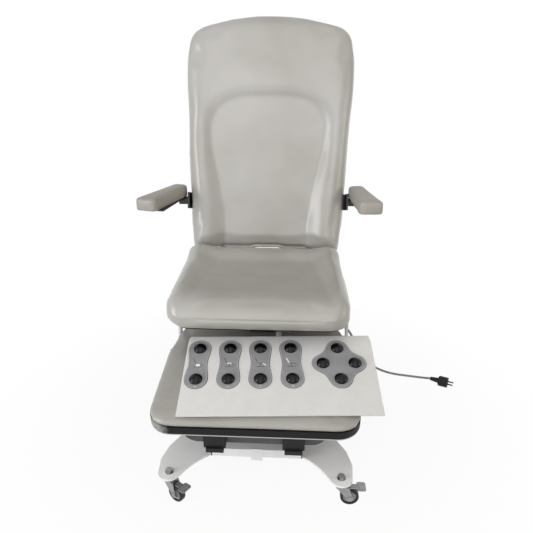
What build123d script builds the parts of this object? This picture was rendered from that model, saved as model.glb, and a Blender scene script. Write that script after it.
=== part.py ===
from build123d import *
from math import atan, cos, degrees, hypot, pi, radians, sin, tan
import os

os.makedirs("parts", exist_ok=True)

# Examination chair, in millimetres. While it is put together, x = 0 is its middle plane,
# y = 0 is the line of the front caster bolts and z = 0 is the floor. The patient faces -y.

# Fits shared by several pieces
running_gap = 0.05
fit_gap = 0.3
slide_gap = 0.4
overrun = 2.0

# Base plates, with a lobe over each caster and a hollow front edge
track = 231.0
wheelbase = 700.0
plate_under = 76.0
plate_thickness = 6.0
lobe_radius = 30.0
hollow_drop = 105.0
plate_wide_half = 265.0
plate_wide_at = 50.0
plate_waist_half = 253.0
plate_waist_at = 105.0
plate_end_half = 212.0
plate_end_at = 185.0

# Base tubes
crossbar_length = 250.0
crossbar_depth = 50.0
crossbar_at = 69.0
bar_height = 25.0
bar_wall = 2.5
rail_width = 40.0
rail_half_gap = 60.0
cap_thickness = 3.0
cap_plug = 14.0
tab_width = 32.0
tab_thickness = 3.0
tab_rise = 4.0
tab_drop = 9.0
foot_plate_width = 200.0
foot_plate_depth = 160.0
foot_plate_thickness = 8.0

# Casters
wheel_radius = 25.0
wheel_width = 18.0
tread_round = 4.0
hub_radius = 8.0
hub_length = 20.4
wheel_recess_depth = 3.5
wheel_recess_inner = 10.0
wheel_recess_outer = 18.5
caster_trail = 24.0
axle_radius = 4.0
axle_head_radius = 6.5
axle_head_length = 2.0
cheek_thickness = 2.5
cheek_eye_radius = 9.0
cheek_back = 13.0
cheek_front = 21.0
fork_web_top = 60.5
fork_head_radius = 17.0
fork_head_round = 3.0
race_radius = 16.0
race_height = 5.7
stem_radius = 5.0
stem_bottom = 62.5
stem_top = 92.0
nut_radius = 9.5
nut_height = 8.0
washer_radius = 12.0
washer_thickness = 1.6
caster_angles = {"front_left": -33.0, "front_right": 0.0, "rear_left": 100.0, "rear_right": 75.0}

# Brake pedals of the front casters
pedal_pivot_x = 12.0
pedal_barrel_radius = 3.5
pedal_pin_radius = 2.0
pedal_thickness = 2.5
pedal_neck_width = 16.0
pedal_pad_start = 42.0
pedal_pad_end = 66.0
pedal_pad_width = 32.0
pedal_corner = 6.0

# Lifting column of three nested tubes
column_y = 475.0
column_width = 170.0
column_depth = 130.0
column_wall = 5.0
column_corner = 14.0
column_outer_height = 240.0
column_middle_rise = 5.0
column_inner_rise = 10.0
column_step = 7.0

# Control box on the column, and the mains lead's gland
box_width = 60.0
box_depth = 100.0
box_height = 135.0
box_under = 190.0
box_corner = 8.0
gland_y = 490.0
gland_z = 300.0
gland_flange_radius = 10.0
gland_flange_length = 6.0
gland_length = 30.0
gland_tip_radius = 6.2

# Lift head that carries the seat's tilt axle
head_plate_width = 200.0
head_plate_depth = 150.0
head_plate_thickness = 8.0
head_housing_width = 116.0
head_housing_depth = 110.0
head_housing_height = 24.0
head_housing_round = 8.0
tilt_axis_z = 396.0
tilt_axle_radius = 10.0
tilt_axle_length = 152.0

# Seat
seat_front = 159.0
seat_rear = 600.0
seat_bottom = 435.5
seat_top = 518.0
seat_half_front = 254.0
seat_half_rear = 251.0
seat_front_corner = 62.0
seat_rear_corner = 16.0
seat_round = 30.0
dish_depth = 12.0
dish_floor_round = 10.0
dish_along_shares = [1.0, 0.78, 0.55, 0.32]
dish_half_shares = [0.60, 0.68, 0.74, 0.79]
dish_front_share = 0.17
dish_front_corner = 60.0
board_thickness = 15.0
board_inset = 22.0
board_corner = 40.0

# Seat frame
frame_tube = 30.0
frame_wall = 3.0
frame_rail_x = 180.0
frame_front = 300.0
frame_rear = 634.0
flat_bar = 8.0
rear_bar_at = 575.0
bar_depth = 30.0
outrigger_at = 392.0
saddle_from = 407.0
saddle_to = 505.0
tilt_tab_x = 66.0
tilt_tab_thickness = 8.0
tilt_tab_radius = 16.0
cheek_inner = 262.0
cheek_plate = 6.0
cheek_top_front = 362.0
cheek_top_rear = 452.0
cheek_bottom_radius = 18.0

# Backrest hinge and drive
hinge_y = 618.0
hinge_z = 497.0
hinge_shaft_radius = 8.0
hinge_shaft_length = 372.0
hinge_ear_x = 174.0
hinge_ear_thickness = 8.0
hinge_ear_radius = 14.0
drive_width = 80.0
drive_depth = 28.0
motor_radius = 20.0
motor_length = 85.0
motor_cap_length = 12.0
motor_y = 616.0
motor_z = 406.0

# Backrest, drawn upright and then leaned back
recline = 15.1
back_y = 606.0
back_z = 521.0
back_height = 769.0
back_half = 279.0
back_cushion_depth = 62.0
back_round = 26.0
back_side_height_shares = [0.0, 0.26, 0.546, 0.764, 0.884]
back_side_width_shares = [0.896, 0.953, 0.965, 1.0, 0.968]
back_shoulder_height_share = 0.970
back_shoulder_width_share = 0.670
back_foot_corner = 18.0
back_board_thickness = 12.0
back_board_inset = 16.0
back_shell_inset = 20.0
back_shell_depth = 34.0
back_shell_wall = 3.5
back_shell_round = 16.0
upright_x = 150.0
upright_tube = 25.0
upright_share = 0.82
cross_tube_shares = [0.30, 0.62]
hinge_arm_thickness = 10.0
hinge_arm_width = 24.0

# Recess in the backrest, which gets narrower towards the seat
recess_depth = 12.0
recess_floor_round = 9.0
recess_height_shares = [0.0, 0.104, 0.217, 0.325, 0.43, 0.546]
recess_width_shares = [0.484, 0.491, 0.523, 0.584, 0.645, 0.677]
recess_top_share = 0.666
recess_top_corner = 52.0

# Armrests
arm_axis_y = 688.0
arm_axis_z = 664.0
arm_pin_radius = 8.0
arm_bracket_x = 271.0
arm_bracket_thickness = 6.0
arm_bracket_height = 56.0
arm_bracket_reach = 30.0
arm_barrel_radius = 14.0
arm_barrel_length = 34.0
arm_plate_thickness = 4.0
arm_plate_width = 40.0
pad_length = 246.0
pad_rear_half = 27.0
pad_front_half = 38.0
pad_height = 40.0
pad_bottom = 680.0
pad_rear_x = 304.0
pad_rear_y = 706.0
pad_splay = 9.5
pad_round = 11.0
pad_corner = 16.0

# Leg rest, drawn level and then sloped
leg_slope = 8.2
leg_length = 396.0
leg_hinge_reach = 25.05
leg_hinge_rise = 5.98
leg_half = 262.0
leg_front_corner = 52.0
leg_rear_corner = 34.0
leg_cushion_bottom = 6.0
leg_top = 30.0
leg_cushion_round = 10.0
tray_bottom = -13.5
tray_thickness = 3.5
trim_width = 11.0
trim_bottom = -10.0
trim_top = 11.5
trim_length_share = 0.80
leg_shell_half = 188.0
leg_shell_depth = 54.0
leg_shell_front = 32.0
leg_shell_rear = 318.0
leg_shell_corner = 42.0
leg_shell_wall = 4.0
leg_cap_x = 102.0
leg_cap_width = 57.0
leg_cap_height = 56.0
leg_cap_depth = 18.0
leg_cap_lip_width = 46.0
leg_cap_lip_height = 12.0
leg_cap_lip_reach = 5.0
leg_axis_y = 377.0
leg_axis_z = 297.0
leg_shaft_radius = 9.0
leg_rib_x = 215.0
leg_rib_width = 10.0
leg_rib_height = 20.0
leg_rib_start = 200.0

# Control console that lies on the leg rest
console_x = 61.5
console_back = 374.5
console_yaw = 3.0
console_width = 523.0
console_depth = 253.5
console_front_height = 12.0
console_rear_height = 61.0
console_corner = 9.0
console_wall = 3.0
console_round = 1.8
console_base_thickness = 2.5
switch_post_radius = 6.0

# Buttons and the grey keypads around them, as places on the console's sloping face
pad_columns = [46.0, 131.5, 216.5, 301.8]
button_near = 115.0
button_far = 221.5
cross_centre_x = 431.5
cross_centre_y = 167.0
cross_reach_x = 43.8
cross_reach_y = 53.3
button_radius = 17.5
button_dome = 9.0
button_skirt = 9.0
button_travel = 2.5
button_wall = 2.0
button_stem_radius = 4.0
keypad_radius = 28.5
keypad_waist = 23.0
keypad_thickness = 1.2
cross_keypad_radius = 27.0

# Console lead and its socket
console_lead_radius = 2.5
nub_radius = 4.5
nub_tip_radius = 3.4
nub_length = 26.0
socket_x = 180.0
socket_width = 26.0
socket_depth = 18.0
socket_height = 24.0

# Mains lead and plug
mains_radius = 4.0
coil_x = 235.0
coil_y = 880.0
coil_outer_radius = 56.0
coil_inner_radius = 32.0
coil_height = 16.0
plug_radius = 18.5
plug_length = 34.0
plug_relief_length = 28.0
plug_relief_radius = 6.5
plug_pin_radius = 2.4
plug_pin_length = 19.0
plug_pin_spacing = 19.0

# Routes of the leads, as points chosen by hand
console_route = [
    (46.9, 245.5, 373.2), (45.9, 263.5, 375.0), (49.5, 285.0, 370.0), (61.0, 305.0, 357.0),
    (82.0, 322.0, 344.0), (107.0, 333.0, 337.0), (131.0, 338.0, 337.0), (153.0, 343.5, 340.5),
    (170.0, 353.5, 344.5), (178.5, 366.5, 341.0), (180.0, 376.0, 328.0),
]
mains_route_start = [
    (175.0, 490.0, 300.0), (215.0, 490.0, 300.0), (256.0, 493.0, 290.0), (288.0, 501.0, 262.0),
    (306.0, 514.0, 222.0), (318.0, 532.0, 176.0), (329.0, 555.0, 128.0), (341.0, 583.0, 82.0),
    (351.0, 616.0, 42.0), (355.0, 656.0, 14.0), (348.0, 702.0, 4.5), (326.0, 744.0, 4.5),
    (289.0, 773.0, 4.5), (246.0, 790.0, 4.5), (209.0, 811.0, 4.5), (188.0, 843.0, 4.5), (184.0, 872.0, 4.5),
]
mains_route_end = [
    (273.0, 915.0, 4.5), (303.0, 886.0, 4.5), (332.0, 850.0, 4.5), (353.0, 806.0, 4.5),
    (374.0, 764.0, 4.5), (396.0, 726.0, 4.5), (420.0, 691.0, 4.5), (452.0, 663.0, 4.5),
    (492.0, 645.0, 4.5), (540.0, 634.0, 6.0), (583.0, 615.0, 12.0), (612.0, 601.0, 18.5),
]


def block(size_x, size_y, size_z, x=0, y=0, z=0):
    """Box that stands at height z, centred on x and y."""
    return Pos(x, y, z + size_z / 2) * Box(size_x, size_y, size_z)


def post(radius, height, x=0, y=0, z=0):
    """Upright cylinder that stands at height z."""
    return Pos(x, y, z + height / 2) * Cylinder(radius, height)


def bar_x(radius, length, x=0, y=0, z=0):
    """Cylinder along x, centred on x."""
    return Pos(x, y, z) * Rot(0, 90, 0) * Cylinder(radius, length)


def bar_y(radius, length, x=0, y=0, z=0):
    """Cylinder along y, centred on y."""
    return Pos(x, y, z) * Rot(90, 0, 0) * Cylinder(radius, length)


def prism(outline, height, z=0):
    """Solid that rises by height from an outline laid at height z."""
    return Pos(0, 0, z) * extrude(outline, height, dir=(0, 0, 1))


def side_plate(points, thickness, x=0):
    """Plate in the y-z plane from its outline, centred on x."""
    face = Plane.YZ * Polygon(*points, align=(Align.NONE, Align.NONE))
    return Pos(x - thickness / 2, 0, 0) * extrude(face, thickness, dir=(1, 0, 0))


def tube_y(width, height, wall, length, x=0, y=0, z=0):
    """Rectangular tube along y, centred on x and y, standing at height z."""
    solid = block(width, length, height, x, y, z)
    return solid - block(width - 2 * wall, length + overrun, height - 2 * wall, x, y, z + wall)


def tube_x(depth, height, wall, length, x=0, y=0, z=0):
    """Rectangular tube along x, centred on x and y, standing at height z."""
    solid = block(length, depth, height, x, y, z)
    return solid - block(length + overrun, depth - 2 * wall, height - 2 * wall, x, y, z + wall)


def both_sides(piece):
    """The piece and its mirror image across the middle plane, as one group."""
    return piece + mirror(piece, Plane.YZ)


# Base

plate_top = plate_under + plate_thickness
bar_top = plate_top + bar_height
foot_top = bar_top + foot_plate_thickness


def base_plate():
    """Flat plate whose hollow edge runs tangent into the two caster lobes."""
    hollow_radius = hypot(track, hollow_drop) - lobe_radius
    touch_share = hollow_radius / (hollow_radius + lobe_radius)
    touch = (track * touch_share, -hollow_drop * (1 - touch_share))
    right = [
        touch,
        (track + lobe_radius, 0),
        (plate_wide_half, plate_wide_at),
        (plate_waist_half, plate_waist_at),
        (plate_end_half, plate_end_at),
    ]
    left = [(-x, y) for x, y in reversed(right)]
    outline = Polygon(*(right + left), align=(Align.NONE, Align.NONE))
    for x in (track, -track):
        outline += Pos(x, 0) * Circle(lobe_radius)
    outline -= Pos(0, -hollow_drop) * Circle(hollow_radius)
    for x in (track, -track):
        outline -= Pos(x, 0) * Circle(stem_radius + running_gap)
    return prism(outline, plate_thickness, plate_under)


def base_tubes():
    """Two crossbars, two rails between them and the column's foot plate, welded together."""
    crossbar_mid = crossbar_at + crossbar_depth / 2
    rail_length = wheelbase - 2 * crossbar_mid
    frame = tube_x(crossbar_depth, bar_height, bar_wall, crossbar_length, 0, crossbar_mid, plate_top)
    frame += tube_x(crossbar_depth, bar_height, bar_wall, crossbar_length, 0, wheelbase - crossbar_mid, plate_top)
    rail_clear = rail_length - crossbar_depth
    for x in (-rail_half_gap, rail_half_gap):
        frame += tube_y(rail_width, bar_height, bar_wall, rail_clear, x, wheelbase / 2, plate_top)
    frame += block(foot_plate_width, foot_plate_depth, foot_plate_thickness, 0, column_y, bar_top)
    tab_height = bar_height + tab_rise + tab_drop
    frame += block(tab_width, tab_thickness, tab_height, 0, crossbar_at - tab_thickness / 2, plate_top - tab_drop)
    return frame


def base_end_caps():
    """Moulded plugs in the open ends of both crossbars."""
    crossbar_mid = crossbar_at + crossbar_depth / 2
    inner_depth = crossbar_depth - 2 * (bar_wall + fit_gap)
    inner_height = bar_height - 2 * (bar_wall + fit_gap)
    caps = []
    for y in (crossbar_mid, wheelbase - crossbar_mid):
        for side in (-1, 1):
            outer_x = side * (crossbar_length + cap_thickness) / 2
            plug_x = side * (crossbar_length - cap_plug) / 2
            cap = block(cap_thickness, crossbar_depth, bar_height, outer_x, y, plate_top)
            caps.append(cap + block(cap_plug, inner_depth, inner_height, plug_x, y, plate_top + bar_wall + fit_gap))
    return Compound(caps)


def caster_bolts():
    """Stem, upper race, washer and nut of each caster, clamped to the plate."""
    bolt = post(race_radius, race_height, 0, 0, plate_under - race_height)
    bolt += post(stem_radius, stem_top - stem_bottom, 0, 0, stem_bottom)
    bolt += post(washer_radius, washer_thickness, 0, 0, plate_top)
    bolt += prism(RegularPolygon(nut_radius, 6), nut_height, plate_top + washer_thickness)
    return Compound([Pos(x, y, 0) * bolt for x in (-track, track) for y in (0, wheelbase)])


# Casters, drawn with the swivel axis at x = y = 0 and the wheel trailing towards +x

fork_inner_half = hub_length / 2 + fit_gap
pedal_pivot_z = fork_web_top - cheek_thickness - fit_gap - pedal_barrel_radius


def caster_fork(with_pedal):
    """Stamped fork: two cheeks, a web, the raceway head and the riveted axle."""
    fork = block(
        cheek_back + cheek_front, 2 * (fork_inner_half + cheek_thickness), cheek_thickness,
        (cheek_front - cheek_back) / 2, 0, fork_web_top - cheek_thickness,
    )
    cheek = Polygon(
        (-cheek_back, fork_web_top), (cheek_front, fork_web_top),
        (caster_trail + cheek_eye_radius, wheel_radius), (caster_trail - cheek_eye_radius, wheel_radius),
        align=(Align.NONE, Align.NONE),
    )
    cheek += Pos(caster_trail, wheel_radius) * Circle(cheek_eye_radius)
    for side in (-1, 1):
        middle = side * (fork_inner_half + cheek_thickness / 2)
        fork += Pos(0, middle + cheek_thickness / 2, 0) * extrude(Plane.XZ * cheek, cheek_thickness, dir=(0, -1, 0))
    head_height = plate_under - race_height - fit_gap - fork_web_top
    head = post(fork_head_radius, head_height, 0, 0, fork_web_top)
    head = fillet(head.edges().sort_by(Axis.Z)[-1], fork_head_round)
    fork += head
    fork -= post(stem_radius + running_gap, stem_top, 0, 0, stem_bottom - fit_gap)
    axle_length = 2 * (fork_inner_half + cheek_thickness)
    fork += bar_y(axle_radius, axle_length, caster_trail, 0, wheel_radius)
    for side in (-1, 1):
        head_y = side * (axle_length + axle_head_length) / 2
        fork += bar_y(axle_head_radius, axle_head_length, caster_trail, head_y, wheel_radius)
    if with_pedal:
        fork += bar_y(pedal_pin_radius, 2 * fork_inner_half, pedal_pivot_x, 0, pedal_pivot_z)
    return fork


def caster_wheel():
    """Wheel with a round-shouldered tread, a ring recess on each side and a hub with its bore."""
    tyre = Cylinder(wheel_radius, wheel_width)
    tyre = fillet(tyre.edges().filter_by(GeomType.CIRCLE), tread_round)
    recess = Circle(wheel_recess_outer) - Circle(wheel_recess_inner)
    for side in (0, 1):
        cut = prism(recess, wheel_recess_depth + overrun, wheel_width / 2 - wheel_recess_depth)
        tyre -= Rot(180 * side, 0, 0) * cut
    wheel = tyre + Cylinder(hub_radius, hub_length)
    wheel -= Cylinder(axle_radius + running_gap, hub_length + overrun)
    return Pos(caster_trail, 0, wheel_radius) * Rot(90, 0, 0) * wheel


def brake_pedal():
    """Pressed pedal: a barrel on its pin, a narrow neck over the wheel and a wide toe plate."""
    barrel_length = 2 * (fork_inner_half - fit_gap)
    pedal = bar_y(pedal_barrel_radius, barrel_length, pedal_pivot_x, 0, pedal_pivot_z)
    neck_length = pedal_pad_start - pedal_pivot_x + pedal_corner
    neck_z = pedal_pivot_z
    pedal += block(neck_length, pedal_neck_width, pedal_thickness, pedal_pivot_x + neck_length / 2, 0, neck_z)
    pad_long = pedal_pad_end - pedal_pad_start
    toe = prism(RectangleRounded(pad_long, pedal_pad_width, pedal_corner), pedal_thickness)
    pedal += Pos(pedal_pad_start + pad_long / 2, 0, neck_z) * toe
    return pedal - bar_y(pedal_pin_radius + running_gap, barrel_length + overrun, pedal_pivot_x, 0, pedal_pivot_z)


# Lifting column

def column_tube(shrink, rise, height):
    """One tube of the column, shrink smaller each side than the outer one."""
    width = column_width - 2 * shrink
    depth = column_depth - 2 * shrink
    corner = column_corner - shrink / 2
    section = RectangleRounded(width, depth, corner)
    section -= RectangleRounded(width - 2 * column_wall, depth - 2 * column_wall, corner - column_wall)
    return Pos(0, column_y, 0) * prism(section, height, foot_top + rise)


column_pitch = column_wall + slide_gap
column_outer_top = foot_top + column_outer_height
column_middle_top = column_outer_top + column_step
column_inner_top = column_middle_top + column_step


def lift_head():
    """Head plate on the inner tube, with the closed tilt-drive housing and its axle."""
    outline = RectangleRounded(head_plate_width, head_plate_depth, column_corner)
    head = Pos(0, column_y, 0) * prism(outline, head_plate_thickness, column_inner_top)
    housing = block(
        head_housing_width, head_housing_depth, head_housing_height,
        0, column_y, column_inner_top + head_plate_thickness,
    )
    housing = fillet(housing.edges().filter_by(Axis.Z), head_housing_round)
    return head + housing + bar_x(tilt_axle_radius, tilt_axle_length, 0, column_y, tilt_axis_z)


def control_box():
    """Closed supply box screwed to the column's right side."""
    body = prism(RectangleRounded(box_depth, box_height, box_corner), box_width)
    body = fillet(body.edges().sort_by(Axis.Z)[-8:], box_corner / 2)
    place = Pos(column_width / 2, gland_y - box_corner, box_under + box_height / 2) * Rot(0, 90, 0) * Rot(0, 0, 90)
    return place * body


box_side = column_width / 2 + box_width


def mains_gland():
    """Round flange and tapered strain relief."""
    gland = Cylinder(gland_flange_radius, gland_flange_length, align=(Align.CENTER, Align.CENTER, Align.MIN))
    taper = Cone(gland_flange_radius - running_gap * 20, gland_tip_radius, gland_length - gland_flange_length,
                 align=(Align.CENTER, Align.CENTER, Align.MIN))
    gland += Pos(0, 0, gland_flange_length) * taper
    return Pos(box_side, gland_y, gland_z) * Rot(0, 90, 0) * gland


# Leads

def lead_tube(points, radius):
    """Round tube along straight runs joined by tangent arcs; prints the radii of its arcs."""
    runs = [Vector(*b) - Vector(*a) for a, b in zip(points, points[1:])]
    turns = [a.get_angle(b) for a, b in zip(runs, runs[1:])]
    radii = [
        0.45 * min(a.length, b.length) / tan(radians(turn / 2))
        for a, b, turn in zip(runs, runs[1:], turns)
    ]
    path = FilletPolyline(*points, radius=radii)
    start = Plane(origin=path @ 0, z_dir=path % 0)
    tube = sweep(start * Circle(radius), path=path)
    share = tube.volume / (pi * radius**2 * path.length)
    print("lead", round(path.length), "mm, volume share", round(share, 4), "radii", [round(r) for r in radii])
    return tube


def mains_coil():
    """Outer shape of the spare length, wound in a flat ring."""
    ring = Circle(coil_outer_radius) - Circle(coil_inner_radius)
    return Pos(coil_x, coil_y, 0) * prism(ring, coil_height)


def mains_plug():
    """Two-pin plug with a tapered strain relief, lying where the lead ends."""
    start = Vector(*mains_route_end[-1])
    heading = start - Vector(*mains_route_end[-2])
    place = Plane(origin=start, x_dir=(heading.Y, -heading.X, 0), z_dir=(heading.X, heading.Y, 0))
    relief = Cone(plug_relief_radius, plug_relief_radius * 1.5, plug_relief_length,
                  align=(Align.CENTER, Align.CENTER, Align.MIN))
    body = Cylinder(plug_radius, plug_length, align=(Align.CENTER, Align.CENTER, Align.MIN))
    body = fillet(body.edges().filter_by(GeomType.CIRCLE).sort_by(Axis.Z)[0], plug_radius / 3)
    plug = relief + Pos(0, 0, plug_relief_length) * body
    for side in (-1, 1):
        pin = Cylinder(plug_pin_radius, plug_pin_length, align=(Align.CENTER, Align.CENTER, Align.MIN))
        plug += Pos(side * plug_pin_spacing / 2, 0, plug_relief_length + plug_length) * pin
    return place.location * plug


# Seat

frame_top = seat_bottom - board_thickness
frame_under = frame_top - frame_tube


def seat_outline(inset, corner_front, corner_rear):
    """Seat seen from above, inset all round, with rounded corners."""
    points = [
        (-seat_half_rear + inset, seat_rear - inset), (seat_half_rear - inset, seat_rear - inset),
        (seat_half_front - inset, seat_front + inset), (-seat_half_front + inset, seat_front + inset),
    ]
    outline = Polygon(*points, align=(Align.NONE, Align.NONE))
    corners = outline.vertices().sort_by(Axis.Y)
    outline = fillet(corners[:2], corner_front)
    return fillet(outline.vertices().sort_by(Axis.Y)[-2:], corner_rear)


def seat_cushion():
    """Foam block with rolled edges and a dish between the two side rolls."""
    body = prism(seat_outline(0, seat_front_corner, seat_rear_corner), seat_top - seat_bottom, seat_bottom)
    body = fillet(body.faces().sort_by(Axis.Z)[-1].edges(), seat_round)
    long = seat_rear - seat_front
    side = [(seat_half_rear * w, seat_front + long * y) for w, y in zip(dish_half_shares, dish_along_shares)]
    right = Spline(*side, tangents=[(0, -1), (0, -1)])
    left = Spline(*[(-x, y) for x, y in side], tangents=[(0, -1), (0, -1)])
    front_y = seat_front + long * dish_front_share
    corner = (side[-1][0], front_y)
    rear = (side[0][0], seat_rear + overrun)
    lines = [Line(right @ 1, corner), Line(corner, (-corner[0], front_y)), Line((-corner[0], front_y), left @ 1)]
    back = [Line(left @ 0, (-rear[0], rear[1])), Line((-rear[0], rear[1]), rear), Line(rear, right @ 0)]
    dish = make_face([right, *lines, left, *back])
    dish = fillet(dish.vertices().sort_by(Axis.Y)[:2], dish_front_corner)
    cut = prism(dish, dish_depth + overrun, seat_top - dish_depth)
    return body - fillet(cut.faces().sort_by(Axis.Z)[0].edges(), dish_floor_round)


def seat_board():
    """Plywood board under the cushion."""
    return prism(seat_outline(board_inset, board_corner, seat_rear_corner), board_thickness, frame_top)


def seat_frame():
    """Welded frame: rails, flat bars, tilt tabs, hinge ears and the cheeks that carry the leg rest."""
    rail_length = frame_rear - frame_front
    rail_mid = (frame_rear + frame_front) / 2
    rail = tube_y(frame_tube, frame_tube, frame_wall, rail_length, frame_rail_x, rail_mid, frame_under)
    ear_points = [
        (hinge_y - hinge_ear_radius, hinge_z), (hinge_y - hinge_ear_radius, frame_under),
        (frame_rear, frame_under), (hinge_y + hinge_ear_radius, hinge_z),
    ]
    ear = side_plate(ear_points, hinge_ear_thickness, hinge_ear_x)
    ear += bar_x(hinge_ear_radius, hinge_ear_thickness, hinge_ear_x, hinge_y, hinge_z)
    cheek_x = cheek_inner + cheek_plate / 2
    cheek_points = [
        (cheek_top_front, frame_top), (cheek_top_rear, frame_top), (cheek_top_rear, frame_under),
        (leg_axis_y + cheek_bottom_radius, leg_axis_z), (leg_axis_y - cheek_bottom_radius, leg_axis_z),
        (cheek_top_front, frame_under),
    ]
    cheek = side_plate(cheek_points, cheek_plate, cheek_x)
    cheek += bar_x(cheek_bottom_radius, cheek_plate, cheek_x, leg_axis_y, leg_axis_z)
    tab_points = [
        (column_y - tilt_tab_radius, tilt_axis_z), (column_y - tilt_tab_radius, frame_top),
        (column_y + tilt_tab_radius, frame_top), (column_y + tilt_tab_radius, tilt_axis_z),
    ]
    tab = side_plate(tab_points, tilt_tab_thickness, tilt_tab_x)
    tab += bar_x(tilt_tab_radius, tilt_tab_thickness, tilt_tab_x, column_y, tilt_axis_z)
    frame = both_sides(rail + ear + cheek + tab)
    frame += tube_x(frame_tube, frame_tube, frame_wall, 2 * cheek_inner, 0, outrigger_at, frame_under)
    inner_span = 2 * (frame_rail_x - frame_tube / 2)
    bar_z = frame_top - flat_bar
    frame += block(inner_span, bar_depth, flat_bar, 0, rear_bar_at, bar_z)
    frame += block(inner_span, saddle_to - saddle_from, flat_bar, 0, (saddle_from + saddle_to) / 2, bar_z)
    frame -= bar_x(hinge_shaft_radius + running_gap, 2 * frame_rail_x, 0, hinge_y, hinge_z)
    frame -= bar_x(leg_shaft_radius + running_gap, 2 * cheek_inner + frame_tube, 0, leg_axis_y, leg_axis_z)
    frame -= bar_x(tilt_axle_radius + running_gap, 2 * frame_rail_x - frame_tube, 0, column_y, tilt_axis_z)
    return frame


def gear_drive(shaft_radius, axis_y, axis_z, far_z, motor_at_y, motor_at_z):
    """Closed gear housing round a hinge shaft, with its motor lying across."""
    low, high = min(axis_z - shaft_radius * 1.7, far_z), max(axis_z + shaft_radius * 1.7, far_z)
    housing = block(drive_width, drive_depth, high - low, 0, axis_y, low)
    housing = fillet(housing.edges().filter_by(Axis.X), drive_depth / 3)
    motor = bar_x(motor_radius, motor_length, (drive_width + motor_length) / 2, motor_at_y, motor_at_z)
    cap_x = drive_width / 2 + motor_length + motor_cap_length / 2
    cap = bar_x(motor_radius * 0.8, motor_cap_length, cap_x, motor_at_y, motor_at_z)
    bore = bar_x(shaft_radius + running_gap, drive_width + overrun, 0, axis_y, axis_z)
    return housing + motor + cap - bore


# Backrest

back_place = Pos(0, back_y, back_z) * Rot(-recline, 0, 0)


def back_outline(inset):
    """Backrest seen from the front, inset all round: sides that swell upwards and a low arch."""
    height = back_height - inset
    heights = [inset + (height - inset) * share for share in back_side_height_shares]
    side = [(back_half * share - inset, z) for share, z in zip(back_side_width_shares, heights)]
    shoulder = (back_half * back_shoulder_width_share - inset / 2, height * back_shoulder_height_share)
    arch = ThreePointArc(shoulder, (0, height), (-shoulder[0], shoulder[1]))
    right = Spline(*side)
    right_corner = Spline(side[-1], shoulder, tangents=[right % 1, arch % 0])
    left = Spline(*[(-x, z) for x, z in side])
    left_corner = Spline(left @ 1, arch @ 1, tangents=[left % 1, -(arch % 1)])
    floor = Line(left @ 0, right @ 0)
    outline = make_face([right, right_corner, arch, left_corner, left, floor])
    return fillet(outline.vertices().sort_by(Axis.Y)[:2], back_foot_corner)


def upright(face, depth, start):
    """Extrudes an outline drawn in x and height backwards from its start depth."""
    return Pos(0, start, 0) * Rot(90, 0, 0) * prism(face, depth, -depth)


def back_cushion():
    """Upholstered back with rolled edges and the shallow recess for the patient's back."""
    body = upright(back_outline(0), back_cushion_depth, 0)
    front_edges = body.faces().sort_by(Axis.Y)[0].edges()
    body = fillet(front_edges, back_round)
    top = back_height * recess_top_share
    side = [(back_half * w, back_height * h) for w, h in zip(recess_width_shares, recess_height_shares)]
    right = Spline(*side, tangents=[(0, 1), (0, 1)])
    left = Spline(*[(-x, z) for x, z in side], tangents=[(0, 1), (0, 1)])
    corner = (side[-1][0], top)
    lines = [Line(right @ 1, corner), Line(corner, (-corner[0], top)), Line((-corner[0], top), left @ 1)]
    foot = [Line(left @ 0, (-side[0][0], -overrun)), Line((-side[0][0], -overrun), (side[0][0], -overrun)),
            Line((side[0][0], -overrun), right @ 0)]
    recess = make_face([right, *lines, left, *foot])
    recess = fillet(recess.vertices().sort_by(Axis.Y)[-2:], recess_top_corner)
    cut = upright(recess, recess_depth + overrun, -overrun)
    cut = fillet(cut.faces().sort_by(Axis.Y)[-1].edges(), recess_floor_round)
    return body - cut


def back_shell():
    """Moulded rear cover, hollow towards the cushion."""
    start = back_cushion_depth + back_board_thickness
    outer = upright(back_outline(back_shell_inset), back_shell_depth, start)
    outer = fillet(outer.faces().sort_by(Axis.Y)[-1].edges(), back_shell_round)
    inner_inset = back_shell_inset + back_shell_wall
    inner = upright(back_outline(inner_inset), back_shell_depth - back_shell_wall, start)
    inner_rear = inner.faces().sort_by(Axis.Y)[-1].edges()
    inner = fillet(inner_rear, back_shell_round - back_shell_wall)
    shell = outer - inner
    notch_height = arm_bracket_height + 2 * overrun
    notch_z = arm_local_z - notch_height / 2
    notch_depth = arm_bracket_thickness + 2 * slide_gap
    shell -= block(3 * back_half, notch_depth, notch_height, 0, start + arm_bracket_thickness / 2, notch_z)
    slot_depth = upright_tube + slide_gap
    for x in (-upright_x, upright_x):
        shell -= block(
            hinge_arm_thickness + 2 * slide_gap, slot_depth, 2 * back_shell_inset, x, start + slot_depth / 2, 0,
        )
    return shell


def local_in_back(y, z):
    """Depth and height of a point of the chair in the backrest's own upright frame."""
    dy, dz = y - back_y, z - back_z
    lean = radians(recline)
    return dy * cos(lean) - dz * sin(lean), dy * sin(lean) + dz * cos(lean)


arm_local_y, arm_local_z = local_in_back(arm_axis_y, arm_axis_z)
hinge_local_y, hinge_local_z = local_in_back(hinge_y, hinge_z)


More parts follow.
